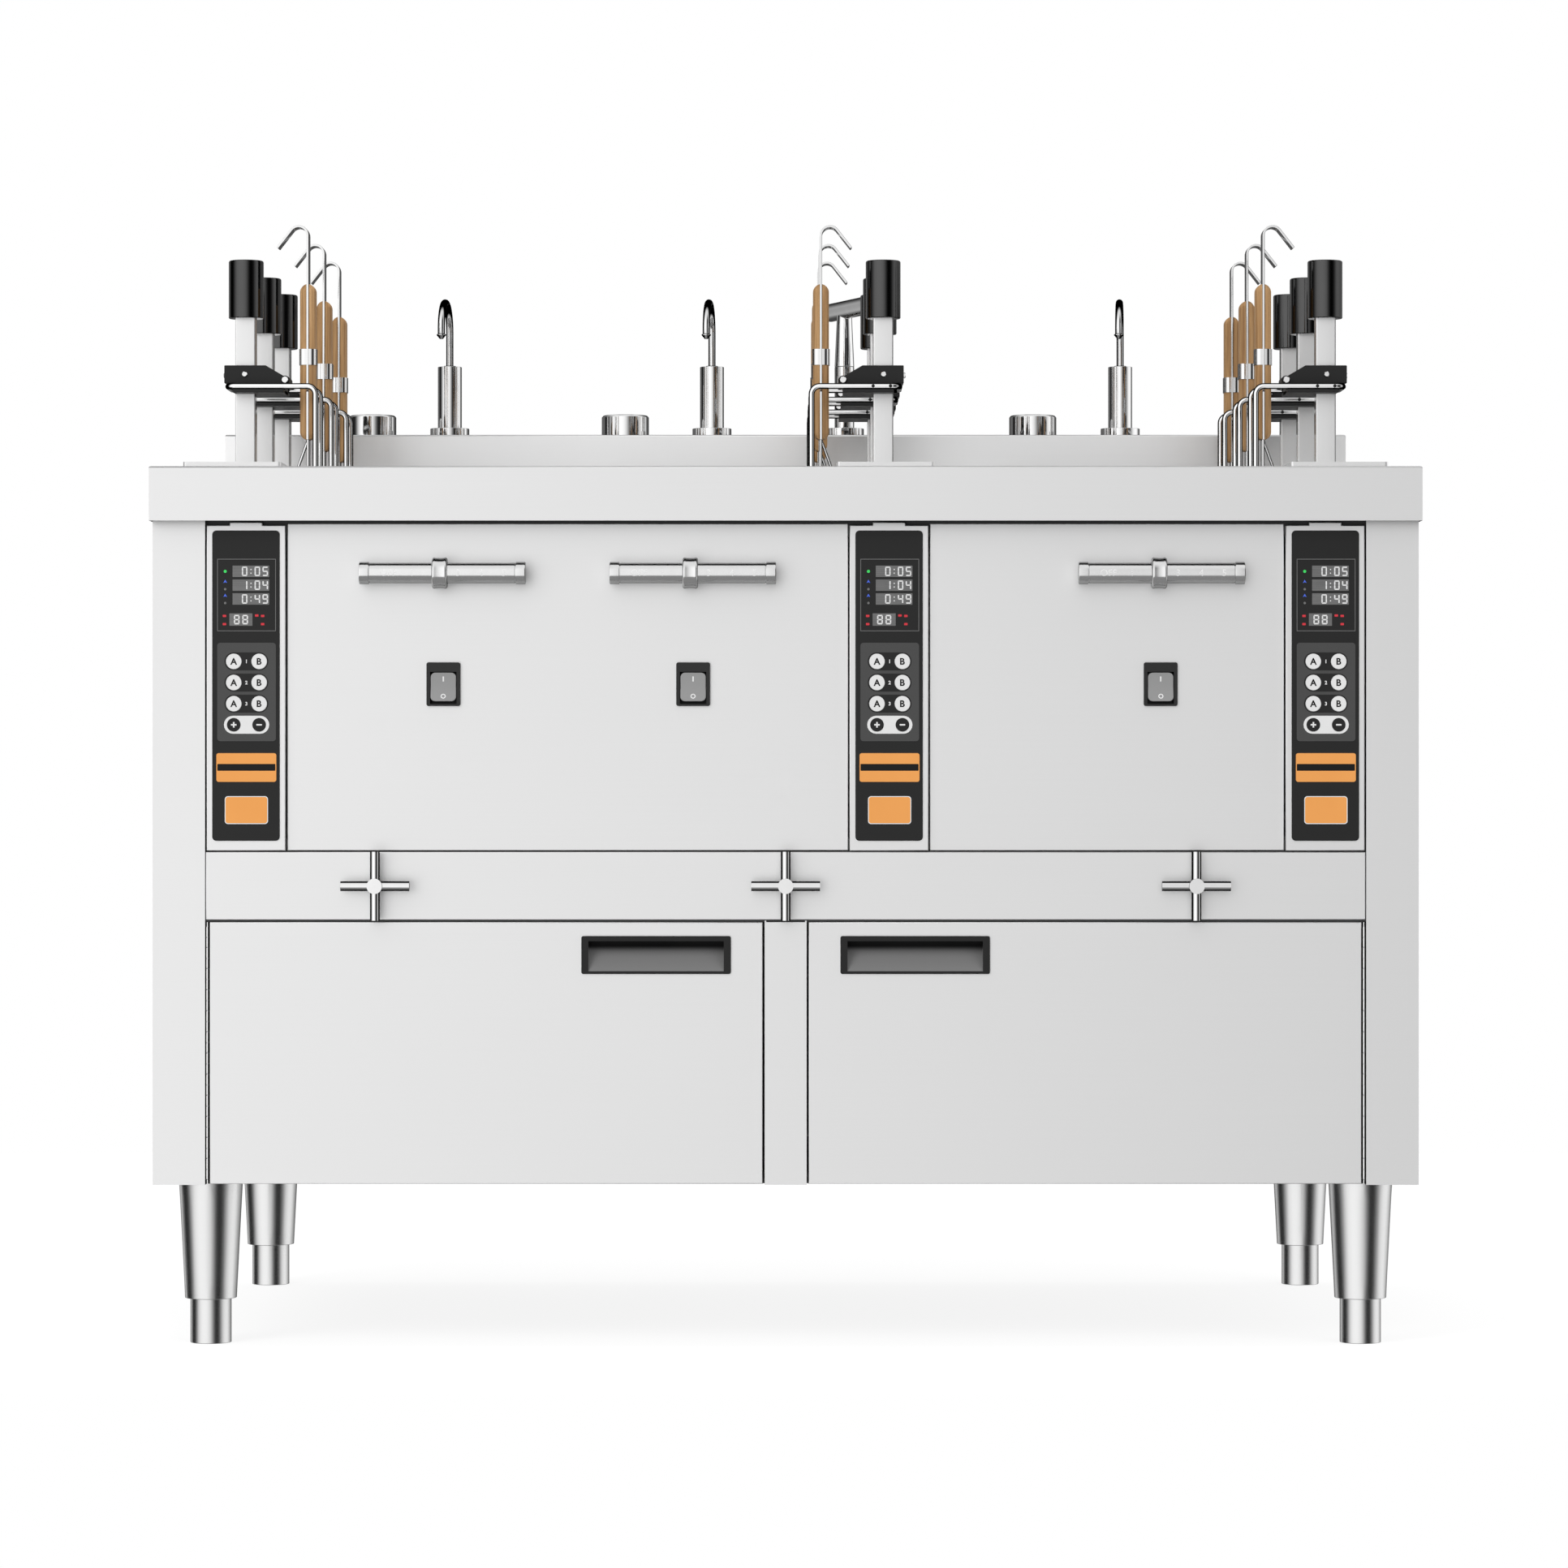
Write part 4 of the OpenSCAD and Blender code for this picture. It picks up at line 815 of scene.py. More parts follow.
def spout_piece(side):
    """A gooseneck that comes out of its body and ends in a small conical nozzle."""
    bench = Bench("handle")
    bench.add(turned([(0, -17), (7, -17), (7, 0.6), (6.4, 1.2), (0, 1.2)]), "handle")
    arch = [(0, y, z) for y, z in arc(SPOUT_BEND, 0, 180, 24, (-SPOUT_BEND, SPOUT_RISE))]
    mouth = -2 * SPOUT_BEND
    bench.add(swept([(0, 0, 0), *arch, (0, mouth, SPOUT_RISE - 5)], SPOUT_R, 24), "handle")
    nozzle = [(0, 5.8), (4, 5.8), (4.2, 5.4), (5.2, 4.9), (5.2, 4.0), (4.6, 3.4), (1.8, 0), (0, 0)]
    bench.add(turned(nozzle, at=(0, mouth, SPOUT_RISE - SPOUT_DROP), steps=32), "handle")
    place = shift(TAP_X[side], TAP_Y, TAP_TOP) @ spin(SPOUT_TURN, "Z")
    bench.piece(f"spout_{side}", place)


for side in SIDES:
    spout_piece(side)


# Lifts: U points from a post to its vat, and V along the row of posts

POST_HALF, POST_LOW, POST_TOP = 10, 633.5, 1053
CAP_LOW = 1018
BRACKET_LOW, BRACKET_TOP, BRACKET_HALF = 952, 970, 17
BRACKET_BACK, BRACKET_TIP, TIP_Z = -20.4, 40.5, 955.3
TIP_R, PIN_R, PIN_LONG = 4.5, 3.3, 42
CLAMP_BACK, CLAMP_LOW, CLAMP_HALF = -10.2, 941.7, 31
SCREW_Z = 961
ROD_R, ROD_HALF, ROD_Z, ROD_BEND = 3, 28, 948.3, 8
ROD_BACK, ROD_DOWN, ROD_END = -16, 72, 185
CRADLE_Z = 657


def at_lift(side, row):
    return shift(LIFT_X[side], LIFT_Y[row], 0) @ spin(LIFT_TURN[side], "Z")


def pin(r, long, u, z):
    """A pin along V, with its ends chamfered, across the middle of a lift."""
    half, edge = long / 2, 0.5
    end = [(0, -half), (r - edge, -half), (r, edge - half)]
    return turned(end + mirrored(end), "Y", (u, 0, z), 32)


def bracket_parts(bench):
    """The bracket with its rounded tip, the clamp below it, the cross pin and the screws."""
    wedge = [(BRACKET_BACK, BRACKET_LOW), (BRACKET_TIP, BRACKET_LOW), (BRACKET_TIP, TIP_Z + 3.3),
             (21, BRACKET_TOP), (BRACKET_BACK, BRACKET_TOP)]
    bench.add(plate(wedge, -BRACKET_HALF, BRACKET_HALF, 0.7), "bracket")
    bench.add(pin(TIP_R, 2 * BRACKET_HALF, BRACKET_TIP, TIP_Z), "bracket")
    for half, top in ((BRACKET_HALF, BRACKET_LOW + 1), (CLAMP_HALF, CLAMP_LOW + 3.5)):
        bench.add(block((CLAMP_BACK, -half, CLAMP_LOW), (BRACKET_TIP, half, top), 0.5), "bracket")
    bench.add(pin(PIN_R, PIN_LONG, BRACKET_TIP, TIP_Z), "chrome")
    head = [(0, 1.2), (1.1, 1.2), (1.2, 2), (2.2, 2), (2.75, 1.4), (2.75, 0), (0, 0)]
    for axis, u, v, turn in (("Y", 0, -BRACKET_HALF - 0.1, 180), ("Y", 0, BRACKET_HALF + 0.1, 0),
                             ("X", BRACKET_BACK - 0.1, 0, 180)):
        bench.add(turned(head, axis, steps=24), "chrome", shift(u, v, SCREW_Z) @ spin(turn, "Z"))
    small = [(0, 0.6), (0.7, 0.6), (0.8, 1), (1.4, 1), (1.7, 0.7), (1.7, -0.6), (0, -0.6)]
    for u in (-6.8, 10.5):
        bench.add(turned(small, "Y", (u, CLAMP_HALF + 0.05, ROD_Z), 16), "bracket")


def lift_piece(side, row):
    """A square post with its cap, its bracket and the bent rod that cradles a strainer."""
    bench = Bench("post", "cap", "bracket", "chrome", "rod")
    bench.add(block((-POST_HALF, -POST_HALF, POST_LOW), (POST_HALF, POST_HALF, POST_TOP), 1.4), "post")
    cap = [(0, 0), (16.8, 0), (17.5, 0.7), (17.5, 56.4), (17.1, 57.5), (16.2, 58), (0, 58)]
    bench.add(turned(cap, at=(0, 0, CAP_LOW)), "cap")
    bracket_parts(bench)
    half = [(ROD_BACK, ROD_HALF, ROD_Z), (ROD_DOWN, ROD_HALF, ROD_Z), (ROD_DOWN, ROD_HALF, CRADLE_Z),
            (ROD_END, ROD_HALF, CRADLE_Z)]
    loop = half + [(u, -v, z) for u, v, z in half[::-1]]
    bench.add(swept(bent(loop, ROD_BEND, True, 8), ROD_R, 16, True), "rod")
    bench.refinish("rod", "chrome", lambda c, n: c.z < CRADLE_Z + ROD_BEND / 2)
    bench.piece(f"lift_{side}_{row}", at_lift(side, row))


# Strainers, in the U and V of their lifts

BASKET = {"Radius": 69.4, "Height": 150.0, "Foot Inset": 10.0, "Wire Radius": 0.55, "Hoops": 22,
          "Uprights": 66, "Floor Rings": 8, "Finish": finishes["wire"]}
BASKET_U, BASKET_Z = 141.36, 660.3
RIM_Z = BASKET_Z + BASKET["Height"]
RIM_R, WIRE_R, WIRE_V, WIRE_BEND, WIRE_REACH = 2, 1.5, 5, 4.5, 71.3
HANDLE_U, HANDLE_Z, HANDLE_TOP = 62.5, 896, 1052
STRAP_HALF, STRAP_WIDE = 1.1, 22
HOOK_R, HOOK_Z, HOOK_TURN, HOOK_TIP = 9, 1101, 142, 23
WOOD_INNER, WOOD_HALF, WOOD_DEEP = 1.2, 8.0, 10.0
WOOD_END, WOOD_CORNER = 7.8, 5.0
FERRULE_LOW, FERRULE_TOP = 971, 987
FERRULE_WIDE, FERRULE_DEEP, FERRULE_CORNER = 17.6, 21.6, 5.8
PROP_LEAN, PROP_GAP = radians(20), 3
basket_mesh = grown_mesh(basket_tree(BASKET), BASKET)


def strap_outline():
    """The strap's edge line: up the handle, round the hook and down to its tip."""
    def one_side(r):
        centre = HANDLE_U - HOOK_R
        hook = arc(r, 0, HOOK_TURN, 18, (centre, HOOK_Z))
        end = radians(HOOK_TURN)
        u, z = hook[-1]
        tip = (u - HOOK_TIP * sin(end), z + HOOK_TIP * cos(end))
        return [(centre + r, HANDLE_Z), *hook, tip]
    return one_side(HOOK_R + STRAP_HALF) + one_side(HOOK_R - STRAP_HALF)[::-1]


def wood_scale(m):
    """One half of the handle, flat against the strap and round elsewhere."""
    rings = []
    heights = [HANDLE_Z + WOOD_END * (1 - cos(pi / 2 * k / 8)) for k in range(1, 9)]
    heights += [HANDLE_Z + HANDLE_TOP - z for z in heights[::-1]]
    for z in heights:
        end = min(z - HANDLE_Z, HANDLE_TOP - z)
        w = WOOD_HALF - WOOD_END + sqrt(max(WOOD_END ** 2 - max(WOOD_END - end, 0) ** 2, 0))
        w = max(w, WOOD_INNER + 0.4)
        r = min(WOOD_CORNER, w - WOOD_INNER)
        d = WOOD_DEEP - 0.6 * max(0.0, 1 - end / 6)
        corners = arc(r, -90, 0, 6, (w - r, r - d)) + arc(r, 0, 90, 6, (w - r, d - r))
        section = [(WOOD_INNER, -d), *corners, (WOOD_INNER, d)]
        rings.append([(HANDLE_U + m * u, v, z) for u, v in section])
    return loft(rings)


def ferrule():
    outline = round_outline(FERRULE_WIDE, FERRULE_DEEP, FERRULE_CORNER, 6, (HANDLE_U, 0))
    return loft([[(u, v, z) for u, v in outline] for z in (FERRULE_LOW, FERRULE_TOP)])


def strainer_piece(side, row):
    """A basket on two wires, with a prop, a strap that ends in a hook, two wooden scales and a ferrule."""
    bench = Bench("wire", "chrome", "wood", "rod")
    bench.add(mesh_part(basket_mesh), "wire", shift(BASKET_U, 0, BASKET_Z))
    rim = [(u, v, RIM_Z) for u, v in circle_outline(BASKET["Radius"], (BASKET_U, 0), 64)]
    bench.add(swept(rim, RIM_R, 10, True), "wire")
    top = HANDLE_Z + 1
    reach = BASKET_U - WIRE_REACH
    for v in (-WIRE_V, WIRE_V):
        path = bent([(HANDLE_U, v, top), (HANDLE_U, v, RIM_Z), (reach, v, RIM_Z)], WIRE_BEND)
        bench.add(swept(path, WIRE_R, 10), "rod")
    fall = top - WORKTOP_HIGH.z - WIRE_R - PROP_GAP
    foot = (HANDLE_U - fall * tan(PROP_LEAN), 0, top - fall)
    bench.add(swept([(HANDLE_U, 0, top), foot], WIRE_R, 10), "rod")
    bench.add(plate(strap_outline(), -STRAP_WIDE / 2, STRAP_WIDE / 2, 0.35), "chrome")
    for m in (-1, 1):
        bench.add(wood_scale(m), "wood")
    bench.add(ferrule(), "chrome")
    bench.piece(f"strainer_{side}_{row}", at_lift(side, row))


for side in SIDES:
    for row in ROWS:
        lift_piece(side, row)
        strainer_piece(side, row)


# Slide bars and their rings

BAR_Y, BAR_Z, MARK_R, MARK_HIGH = -369.8, 756, 10.03, 6.6
STAND_X, RING_X = 76.25, -2.6
BAR_MARKS = {"OFF": -52.3, "1": -29.4, "2": -7.0, "3": 15.4, "4": 37.8, "5": 60.2}


def bar_mark(words, x):
    """Lettering bent round a slide bar."""
    flat = lettering(words, MARK_HIGH, (x, 0))
    bmesh.ops.subdivide_edges(flat, edges=[e for e in flat.edges if e.calc_length() > 1.2], cuts=2)
    bmesh.ops.triangulate(flat, faces=flat.faces)
    for v in flat.verts:
        angle = v.co.z / MARK_R
        v.co = Vector((v.co.x, BAR_Y - MARK_R * cos(angle), BAR_Z + MARK_R * sin(angle)))
    face_front(flat)
    return flat


def slide_bar_piece():
    """The bars with their end caps, stands and marks."""
    bench = Bench("satin", "white")
    end = [(0, -81), (10.0, -81), (10.6, -80.75), (10.85, -80.1), (10.85, -72.0), (10.6, -71.6),
           (9.6, -71.5), (9.6, -70.9), (9.85, -70.7), (10, -70.4)]
    stand = [(0, 0), (4.5, 0), (4.5, 16.3), (0, 16.3)]
    for side in SIDES:
        x = CONTROL_X[side]
        bench.add(turned(end + mirrored(end), "X", (x, BAR_Y, BAR_Z), 64), "satin")
        for dx in (-STAND_X, STAND_X):
            bench.add(turned(stand, "Y", (x + dx, BAR_Y, BAR_Z), 32), "satin")
        for words, dx in BAR_MARKS.items():
            bench.add(bar_mark(words, x + dx), "white", closed=False)
    bench.piece("slide_bars", ending="marked")


def ring_piece(side):
    """The sliding ring: a collar with a shallow waist and rounded lips."""
    lip = [(13.4, -7.5), (14.5, -7.1), (15.1, -6.3), (15.3, -5.2), (14.9, -3.8)]
    bore = [(10.8, 7.5), (10.06, 6.8)]
    profile = lip + [(14.7, 0)] + mirrored(lip) + bore + mirrored(bore)
    bench = Bench("satin")
    bench.add(turned(profile, "X", (CONTROL_X[side] + RING_X, BAR_Y, BAR_Z), 64, True), "satin")
    bench.piece(f"ring_{side}")


# Rocker keys

KEY_W, KEY_H, KEY_FRONT, KEY_DISH = 25.0, 28.4, -5.5, 2.5
KEY_Y, KEY_Z, KEY_TILT = -350.5, 644.4, -7
AXLE_R, AXLE_HALF = 1.5, 13.4
STROKE_Z, CIRCLE_Z = 7.9, -9.1


def key_front(z):
    """The depth of a rocker key's hollow face at a height from its axle."""
    return KEY_FRONT - KEY_DISH * abs(z) / (KEY_H / 2)


def key_shape():
    ring = round_outline(KEY_W, KEY_H, 4.6)
    fold = (-KEY_W / 2, 0)
    ring = [p for p in ring if p[1] > 0] + [fold] + [p for p in ring if p[1] < 0] + [(KEY_W / 2, 0)]
    part = loft([[(x * 0.97, 3, z * 0.9) for x, z in ring], [(x, key_front(z), z) for x, z in ring]], False)
    backs, fronts = part.verts[:len(ring)], part.verts[len(ring):]
    middle = ring.index(fold)
    for corners in (fronts[:middle + 1] + fronts[-1:], fronts[middle:], backs):
        part.faces.new(corners)
    bmesh.ops.recalc_face_normals(part, faces=part.faces)
    return soften(part, 0.9, 45, 3)


def switch_key_piece(side):
    """A rocker key with round corners, a light chamfer, its axle and its two marks."""
    bench = Bench("key_grey", "white")
    bench.add(key_shape(), "key_grey")
    end = [(0, -AXLE_HALF), (AXLE_R, -AXLE_HALF)]
    bench.add(turned(end + mirrored(end), "X", steps=24), "key_grey")
    stroke = plate([(-0.7, -2.5), (0.7, -2.5), (0.7, 2.5), (-0.7, 2.5)], -0.06, 0.3)
    circle = turned([(1.5, -0.06), (2.5, -0.06), (2.5, 0.3), (1.5, 0.3)], "Y", steps=32, closed=True)
    slope = degrees(atan2(KEY_DISH, KEY_H / 2))
    for z, mark in ((STROKE_Z, stroke), (CIRCLE_Z, circle)):
        bench.add(mark, "white", shift(0, key_front(z), z) @ spin(copysign(slope, z), "X"))
    place = shift(CONTROL_X[side], KEY_Y, KEY_Z) @ spin(KEY_TILT, "X")
    bench.piece(f"switch_key_{side}", place)


# Door pulls

TRAY_HALF, TRAY_LOW, TRAY_HIGH = 66.3, -16, 13.7


def pull_piece(side):
    """The recessed pull: a black rim round a grey sloping tray, with a painted shadow at the top of the
    tray.
    """
    node = f"pull_{side}"
    middle = sum(box_mm(node), Vector()) / 2

    def in_tray(c, n):
        inside = abs(c.x - middle.x) < TRAY_HALF and TRAY_LOW < c.z - middle.z < TRAY_HIGH
        return inside and not (n.y < -0.9 and c.y < BODY_Y - 1) and not n.y > 0.5

    bench = Bench("pull", "tray")
    bench.add(softened_cad(node, 0.4, 45), "pull")
    bench.refinish("pull", "tray", in_tray)
    bench.piece(node)


# Keypads: X from a keypad's middle, and layers that rise from its film

PRINT, AREA, PILL, INK = 0.12, 0.15, 0.08, 0.03
FIELD_LEFT, FIELD_RIGHT = -28.0, 29.3
FRAME_LOW, FRAME_HIGH, FRAME_LINE = 699.7, 770.3, 0.6
SCREEN_LEFT, SCREEN_RIGHT, SCREEN_LOW, SCREEN_HIGH, SCREEN_PITCH = -13.0, 22.8, 752.6, 11.1, 13.5
TIMES = ("0:05", "1:04", "0:49")
LAMP_X, LAMP_Z, SPOTS_Z, ARROWS_Z = -20.2, 758.1, (740.7, 727.2), (748.3, 734.6)
RED_MARKS = ((-20.9, 714.6), (-20.9, 706.6), (10.6, 715.0), (16.4, 714.6), (16.4, 706.6))
KEY_A, KEY_B, KEYS_X = -11.8, 13.0, 0.6
KEY_ROWS = (670.2, 649.5, 628.9)
SIGNS_Z = 608.3
# Rectangles: left, right, low and high
SHORT_SCREEN = (-16.1, 6.4, 705.0, 717.1)
KEY_FIELD = (FIELD_LEFT, FIELD_RIGHT, 592.3, 688.4)
SIGN_PILL = (-21.4, 22.8, 599.6, 617.1)
WIDE_FIELD, DARK_BAR = (-28.8, 29.7, 552.6, 580.6), (-27.9, 28.8, 563.4, 570.1)
LOWER_FIELD, LOWER_INSIDE = (-20.6, 21.6, 511.4, 538.6), (-19.8, 20.8, 512.2, 537.8)
KEYS = {"Columns": 2, "Rows": 3, "Width": 24.8, "Height": 41.3, "Key Radius": 7.6, "Key Rise": 0.5,
        "Finish": finishes["white"]}
SIGN_KEYS = {**KEYS, "Rows": 1, "Height": 0.0, "Key Radius": 6.7, "Key Rise": 0.4, "Finish": finishes["ink"]}
DIGIT_BARS = {"a": (0, 1, 1), "b": (1, 0.5, 0), "c": (1, -0.5, 0), "d": (0, -1, 1), "e": (-1, -0.5, 0),
              "f": (-1, 0.5, 0), "g": (0, 0, 1)}
DIGITS = {"0": "abcdef", "1": "bc", "4": "bcfg", "5": "acdfg", "8": "abcdefg", "9": "abcdfg"}
DIGIT_HIGH = 9.2
DIGIT_X = (-1.2, 5.0, 11.2, 18.9)
SHORT_DIGIT_X, SHORT_DIGIT_Z = (-8.9, -0.7), 711.0
key_bank = key_bank_tree(KEYS)


class Film:
    """The face of one keypad, on which prints and keys are laid."""

    def __init__(self, side):
        self.x = KEYPAD_X[side]
        self.bench = Bench("key_area", "pill", "white", "ink", "line", "orange", "green", "blue", "red",
                           "screen")

    def flat(self, outline, rise, finish, base=0.0):
        """An outline that rises from a base above the film."""
        moved = [(self.x + x, z) for x, z in outline]
        self.bench.add(plate(moved, FILM_Y - base - rise, FILM_Y - base + 0.02), finish)

    def rect(self, x_low, x_high, z_low, z_high, r, rise, finish, base=0.0):
        middle = ((x_low + x_high) / 2, (z_low + z_high) / 2)
        self.flat(round_outline(x_high - x_low, z_high - z_low, r, 5, middle), rise, finish, base)

    def spot(self, r, x, z, steps, rise, finish, base=0.0):
        self.flat(circle_outline(r, (x, z), steps), rise, finish, base)

    def digit(self, digit, x, z, w, thick):
        """The lit bars of one display digit, with their corners cut."""
        for bar in DIGITS[digit]:
            dx, dz, level = DIGIT_BARS[bar]
            long = (w if level else DIGIT_HIGH / 2) - thick * 0.55
            size = (long, thick) if level else (thick, long)
            middle = (self.x + x + dx * (w - thick) / 2, z + dz * (DIGIT_HIGH - thick) / 2)
            outline = round_outline(*size, thick * 0.3, 1, middle)
            self.bench.add(plate(outline, FILM_Y - PRINT - 0.02, FILM_Y - PRINT), "white")

    def words(self, words, height, x, z, base, finish):
        flat = lettering(words, height, (self.x + x, z), 0.03)
        self.bench.add(lifted(flat, 0.04), finish, shift(0, FILM_Y - base, 0))

    def keys(self, values, z, base, finish):
        where = shift(self.x + KEYS_X, FILM_Y - base, z) @ spin(90, "X")
        self.bench.add(mesh_part(grown_mesh(key_bank, values)), finish, where)


def display_prints(film):
    """A line frame round three time displays and a fourth short one."""
    low, high = FRAME_LOW + FRAME_LINE, FRAME_HIGH - FRAME_LINE
    for z in (high, FRAME_LOW):
        film.rect(FIELD_LEFT, FIELD_RIGHT, z, z + FRAME_LINE, 0.2, PRINT, "line")
    for x in (FIELD_LEFT, FIELD_RIGHT - FRAME_LINE):
        film.rect(x, x + FRAME_LINE, low, high, 0.2, PRINT, "line")
    for k, shown in enumerate(TIMES):
        z_low = SCREEN_LOW - k * SCREEN_PITCH
        film.rect(SCREEN_LEFT, SCREEN_RIGHT, z_low, z_low + SCREEN_HIGH, 0.3, PRINT, "screen")
        middle = z_low + SCREEN_HIGH / 2
        for x, digit in zip(DIGIT_X, shown):
            if digit == ":":
                for dz in (-1.8, 1.8):
                    film.spot(0.62, x, middle + dz, 12, 0.02, "white", PRINT)
            else:
                film.digit(digit, x, middle, 5.4, 1.25)
    film.rect(*SHORT_SCREEN, 0.3, PRINT, "screen")
    for x in SHORT_DIGIT_X:
        film.digit("8", x, SHORT_DIGIT_Z, 5.6, 1.3)


def lamp_prints(film):
    film.spot(1.5, LAMP_X, LAMP_Z, 24, 0.2, "green")
    for z in SPOTS_Z:
        film.spot(1.2, LAMP_X, z, 20, 0.15, "line")
    for z in ARROWS_Z:
        arrow = [(LAMP_X, z + 1.7), (LAMP_X - 1.8, z - 1.5), (LAMP_X, z - 0.8), (LAMP_X + 1.8, z - 1.5)]
        film.flat(arrow, 0.15, "blue")
    for x, z in RED_MARKS:
        film.rect(x - 1.7, x + 1.7, z - 1.1, z + 1.1, 0.5, PRINT, "red")


def key_prints(film):
    """Three pairs of lettered keys on dark pills, and a plus and a minus key on a white one."""
    film.rect(*KEY_FIELD, 3.0, AREA, "key_area")
    for number, z in zip("123", KEY_ROWS):
        film.rect(-20.9, 21.9, z - 8.8, z + 8.8, 8.7, PILL, "pill", AREA)
        film.words(number, 3.6, 0.5, z, AREA + PILL, "white")
    for letter, x in (("A", KEY_A), ("B", KEY_B)):
        for z in KEY_ROWS:
            film.words(letter, 6.6, x, z, AREA + PILL + KEYS["Key Rise"], "ink")
    film.keys(KEYS, KEY_ROWS[1], AREA + PILL, "white")
    film.rect(*SIGN_PILL, 8.7, AREA, "white", AREA)
    film.keys(SIGN_KEYS, SIGNS_Z, 2 * AREA, "pill")
    sign_base = 2 * AREA + SIGN_KEYS["Key Rise"]
    half, arm = 0.75, 2.7
    quarter = [(arm, -half), (arm, half), (half, half)]
    turns = ((1, 0), (0, 1), (-1, 0), (0, -1))
    plus = [(x * c - z * s, x * s + z * c) for c, s in turns for x, z in quarter]
    film.flat([(x + KEY_A, z + SIGNS_Z) for x, z in plus], INK, "white", sign_base)
    film.rect(KEY_B - arm, KEY_B + arm, SIGNS_Z - half, SIGNS_Z + half, 0.3, INK, "white", sign_base)


def colour_fields(film):
    """A wide orange field with a dark bar, and a smaller one with a white border below it."""
    film.rect(*WIDE_FIELD, 2.2, PRINT, "orange")
    film.rect(*DARK_BAR, 0.6, 0.02, "ink", PRINT)
    film.rect(*LOWER_FIELD, 3.0, PRINT, "white")
    film.rect(*LOWER_INSIDE, 2.4, INK, "orange", PRINT)


def keypad_piece(side):
    film = Film(side)
    for prints in (display_prints, lamp_prints, key_prints, colour_fields):
        prints(film)
    film.bench.piece("keypads", beside=f"keypad_{side}_face")


slide_bar_piece()
for side in SIDES:
    ring_piece(side)
    switch_key_piece(side)
    keypad_piece(side)
for side in DOORS:
    pull_piece(side)


# Studio, in metres

# Brightness of what reflections show round the part, by degrees from the front
PANEL_LEVELS = {
    -180: 0.12, -156: 0.25, -140: 0.80, -124: 0.30, -114: 0.02, -92: 0.02, -82: 0.22, -70: 0.75, -58: 1.22,
    -40: 1.40, -18: 1.38, -4: 1.18, 6: 0.90, 14: 0.50, 22: 0.16, 30: 0.02, 46: 0.02, 56: 0.14, 66: 0.50,
    78: 1.00, 92: 1.25, 110: 1.25, 128: 0.80, 142: 0.45, 158: 0.20, 180: 0.12,
}
CEILING, DARK_REAR, GROUND, DIFFUSE, WHITE = 1.0, 0.04, 0.28, 0.62, 1.0
FLOOR_HALF, FLOOR_FRONT, FLOOR_BACK = 2.4, -0.75, 2.4
FLOOR_SEEN, FLOOR_GLOW, FLOOR_PLAIN = 0.22, 0.85, 0.30
CAMERA_PLACE, LENS = (-0.0016, -5.626, 0.5505), 123.85


def studio_world():
    """White to the camera, plain for diffuse light, and soft light and dark panels in reflections."""
    world = bpy.data.worlds.new("studio")
    scene.world = world
    start = fresh_tree(world)
    world.cycles.sampling_method = "NONE"
    x = start.node("ShaderNodeTexCoord", out="Generated").along("X")
    y, z = x.other("Y"), x.other("Z")
    around = start.maths("ARCTAN2", x, y * -1.0) / (2 * pi) + 0.5
    stops = [(angle / 360 + 0.5, level) for angle, level in PANEL_LEVELS.items()]
    panels = around.node("ShaderNodeValToRGB", {"Fac": around}, stops=stops)
    ceiling = blend(step_between(z, 0.5, 0.95), panels, CEILING)
    at_rear = step_between(y, 0.1, 0.35) * step_between(z, 0.12, 0.3) * step_between(abs(x), 0.32, 0.2)
    upper = blend(at_rear, ceiling, DARK_REAR)
    reflected = blend(step_between(z, -0.46, -0.54), upper, GROUND)
    path = start.node("ShaderNodeLightPath", out="Is Camera Ray")
    seen = blend(path.other("Is Glossy Ray"), DIFFUSE, reflected)
    back = start.node("ShaderNodeBackground", {"Color": blend(path, seen, WHITE)})
    start.node("ShaderNodeOutputWorld", {"Surface": back})


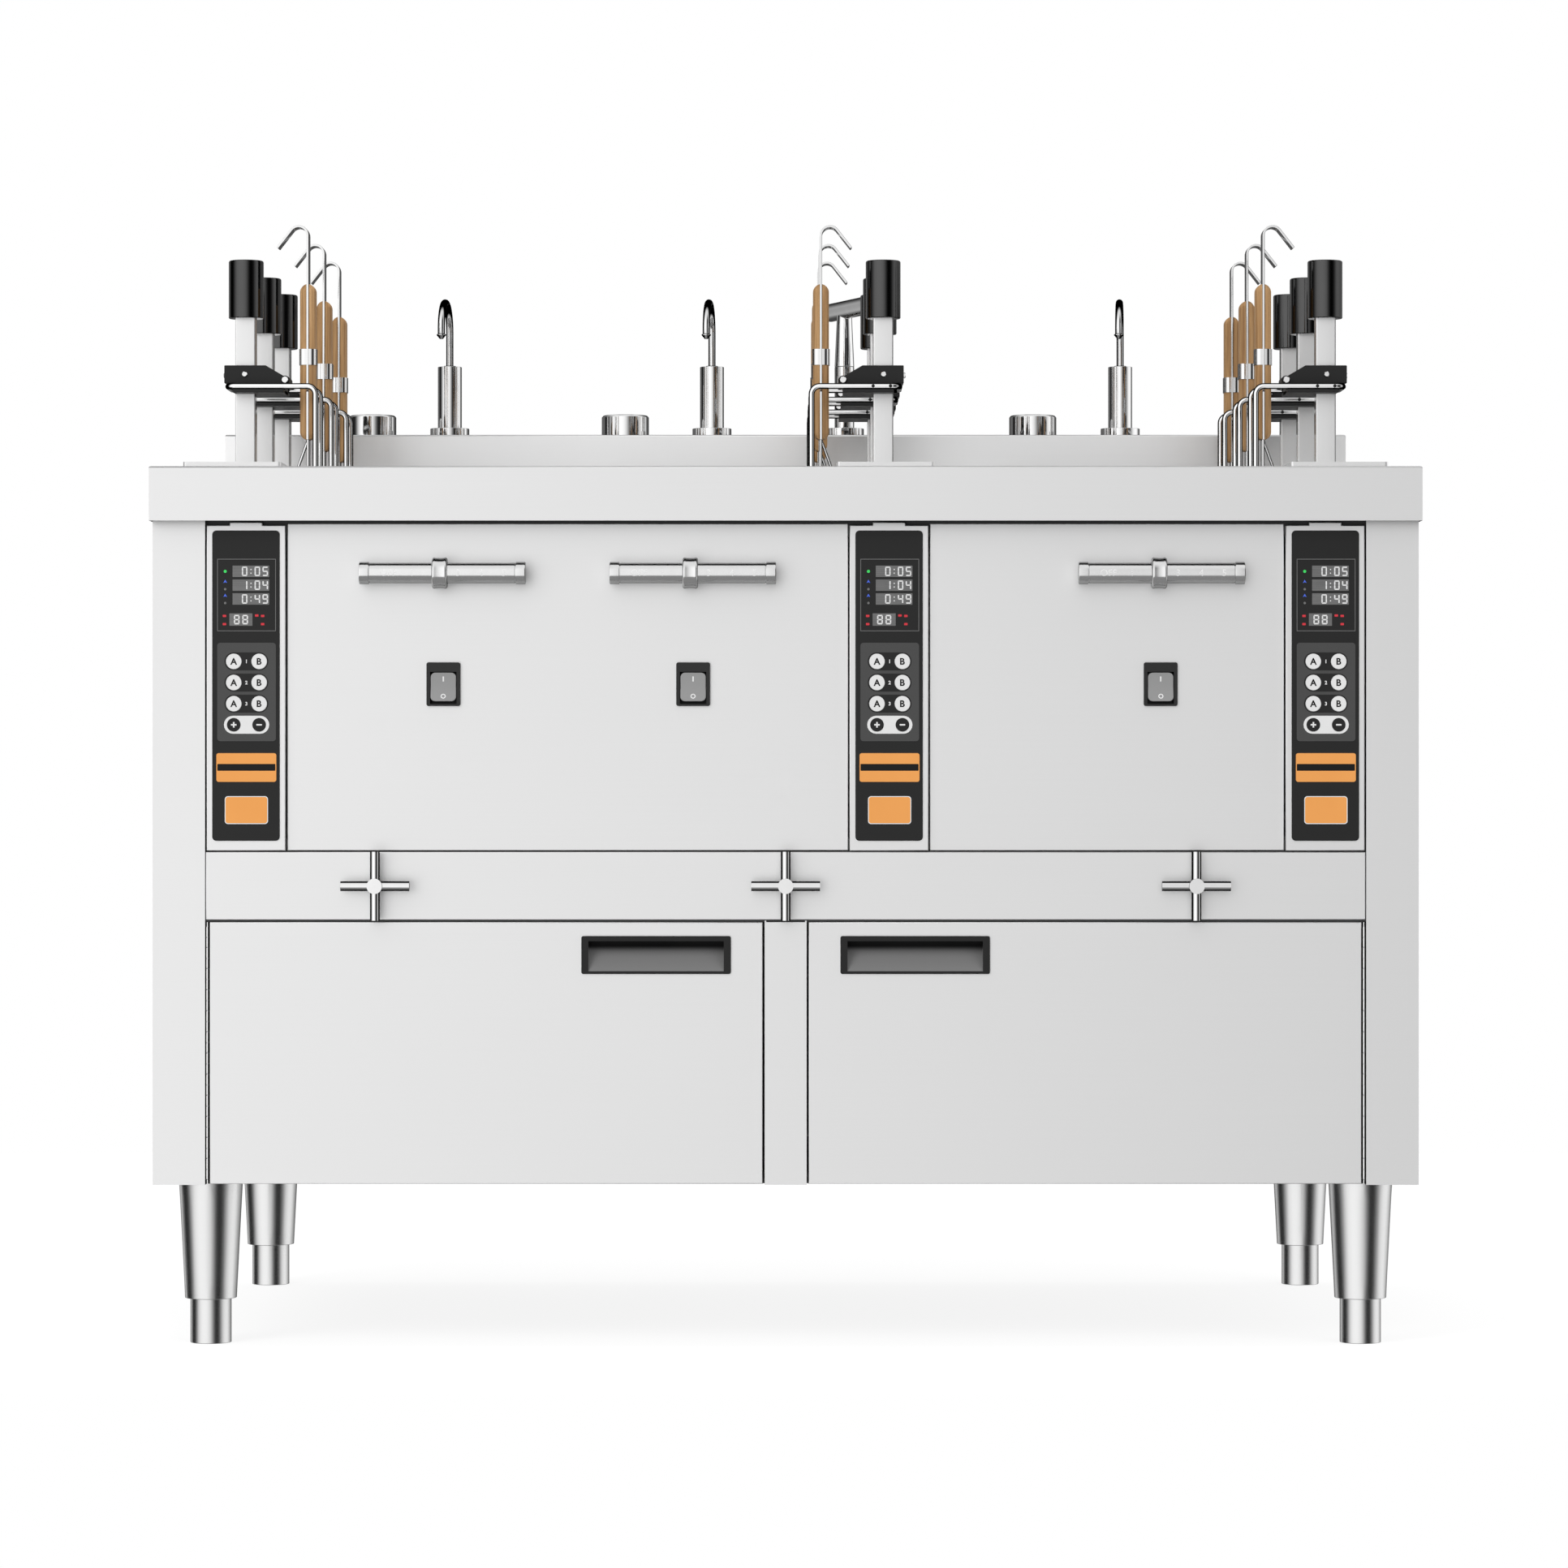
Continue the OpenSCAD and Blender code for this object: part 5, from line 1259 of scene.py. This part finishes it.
def studio_floor():
    """A pale floor that shows white to the camera, with the object's soft shadow."""
    mesh = bpy.data.meshes.new("floor")
    front = [(-FLOOR_HALF, FLOOR_FRONT, 0), (FLOOR_HALF, FLOOR_FRONT, 0)]
    rear = [(FLOOR_HALF, FLOOR_BACK, 0), (-FLOOR_HALF, FLOOR_BACK, 0)]
    mesh.from_pydata(front + rear, [], [(0, 1, 2, 3)])
    floor = put_object("floor", mesh)
    material = bpy.data.materials.new("studio_floor")
    start = fresh_tree(material)
    path = start.node("ShaderNodeLightPath", out="Is Camera Ray")
    matt = start.node("ShaderNodeBsdfDiffuse", {"Color": shade(FLOOR_SEEN)})
    glow = start.node("ShaderNodeEmission", {"Color": shade(WHITE), "Strength": FLOOR_GLOW})
    lit = start.node("ShaderNodeAddShader", {0: matt, 1: glow})
    plain = start.node("ShaderNodeBsdfDiffuse", {"Color": shade(FLOOR_PLAIN)})
    shader = start.node("ShaderNodeMixShader", {0: path, 1: plain, 2: lit})
    start.node("ShaderNodeOutputMaterial", {"Surface": shader})
    mesh.materials.append(material)
    floor.visible_glossy = False


def lamp(name, place, aim, size, watts):
    light = bpy.data.lights.new(name, "AREA")
    light.shape = "DISK"
    light.size = size
    light.energy = watts
    obj = put_object(name, light)
    obj.location = place
    obj.rotation_euler = (Vector(aim) - Vector(place)).to_track_quat("-Z", "Y").to_euler()
    obj.visible_glossy = False


def front_camera():
    """The photograph's viewpoint: level, straight on and 5.25 m in front of the worktop."""
    data = bpy.data.cameras.new("front_camera")
    data.lens = LENS
    camera = put_object("front_camera", data)
    camera.location = CAMERA_PLACE
    camera.rotation_euler = (pi / 2, 0, 0)
    scene.camera = camera


studio_world()
studio_floor()
lamp("key_lamp", (-2.4, -3.2, 3.0), (0, -0.2, 0.6), 2.2, 70)
lamp("fill_lamp", (2.6, -2.6, 2.2), (0, 0, 0.6), 2.6, 25)
lamp("top_lamp", (0, 0.2, 4.0), (0, 0, 0.8), 3.0, 40)
front_camera()
scene.view_settings.view_transform = "Standard"
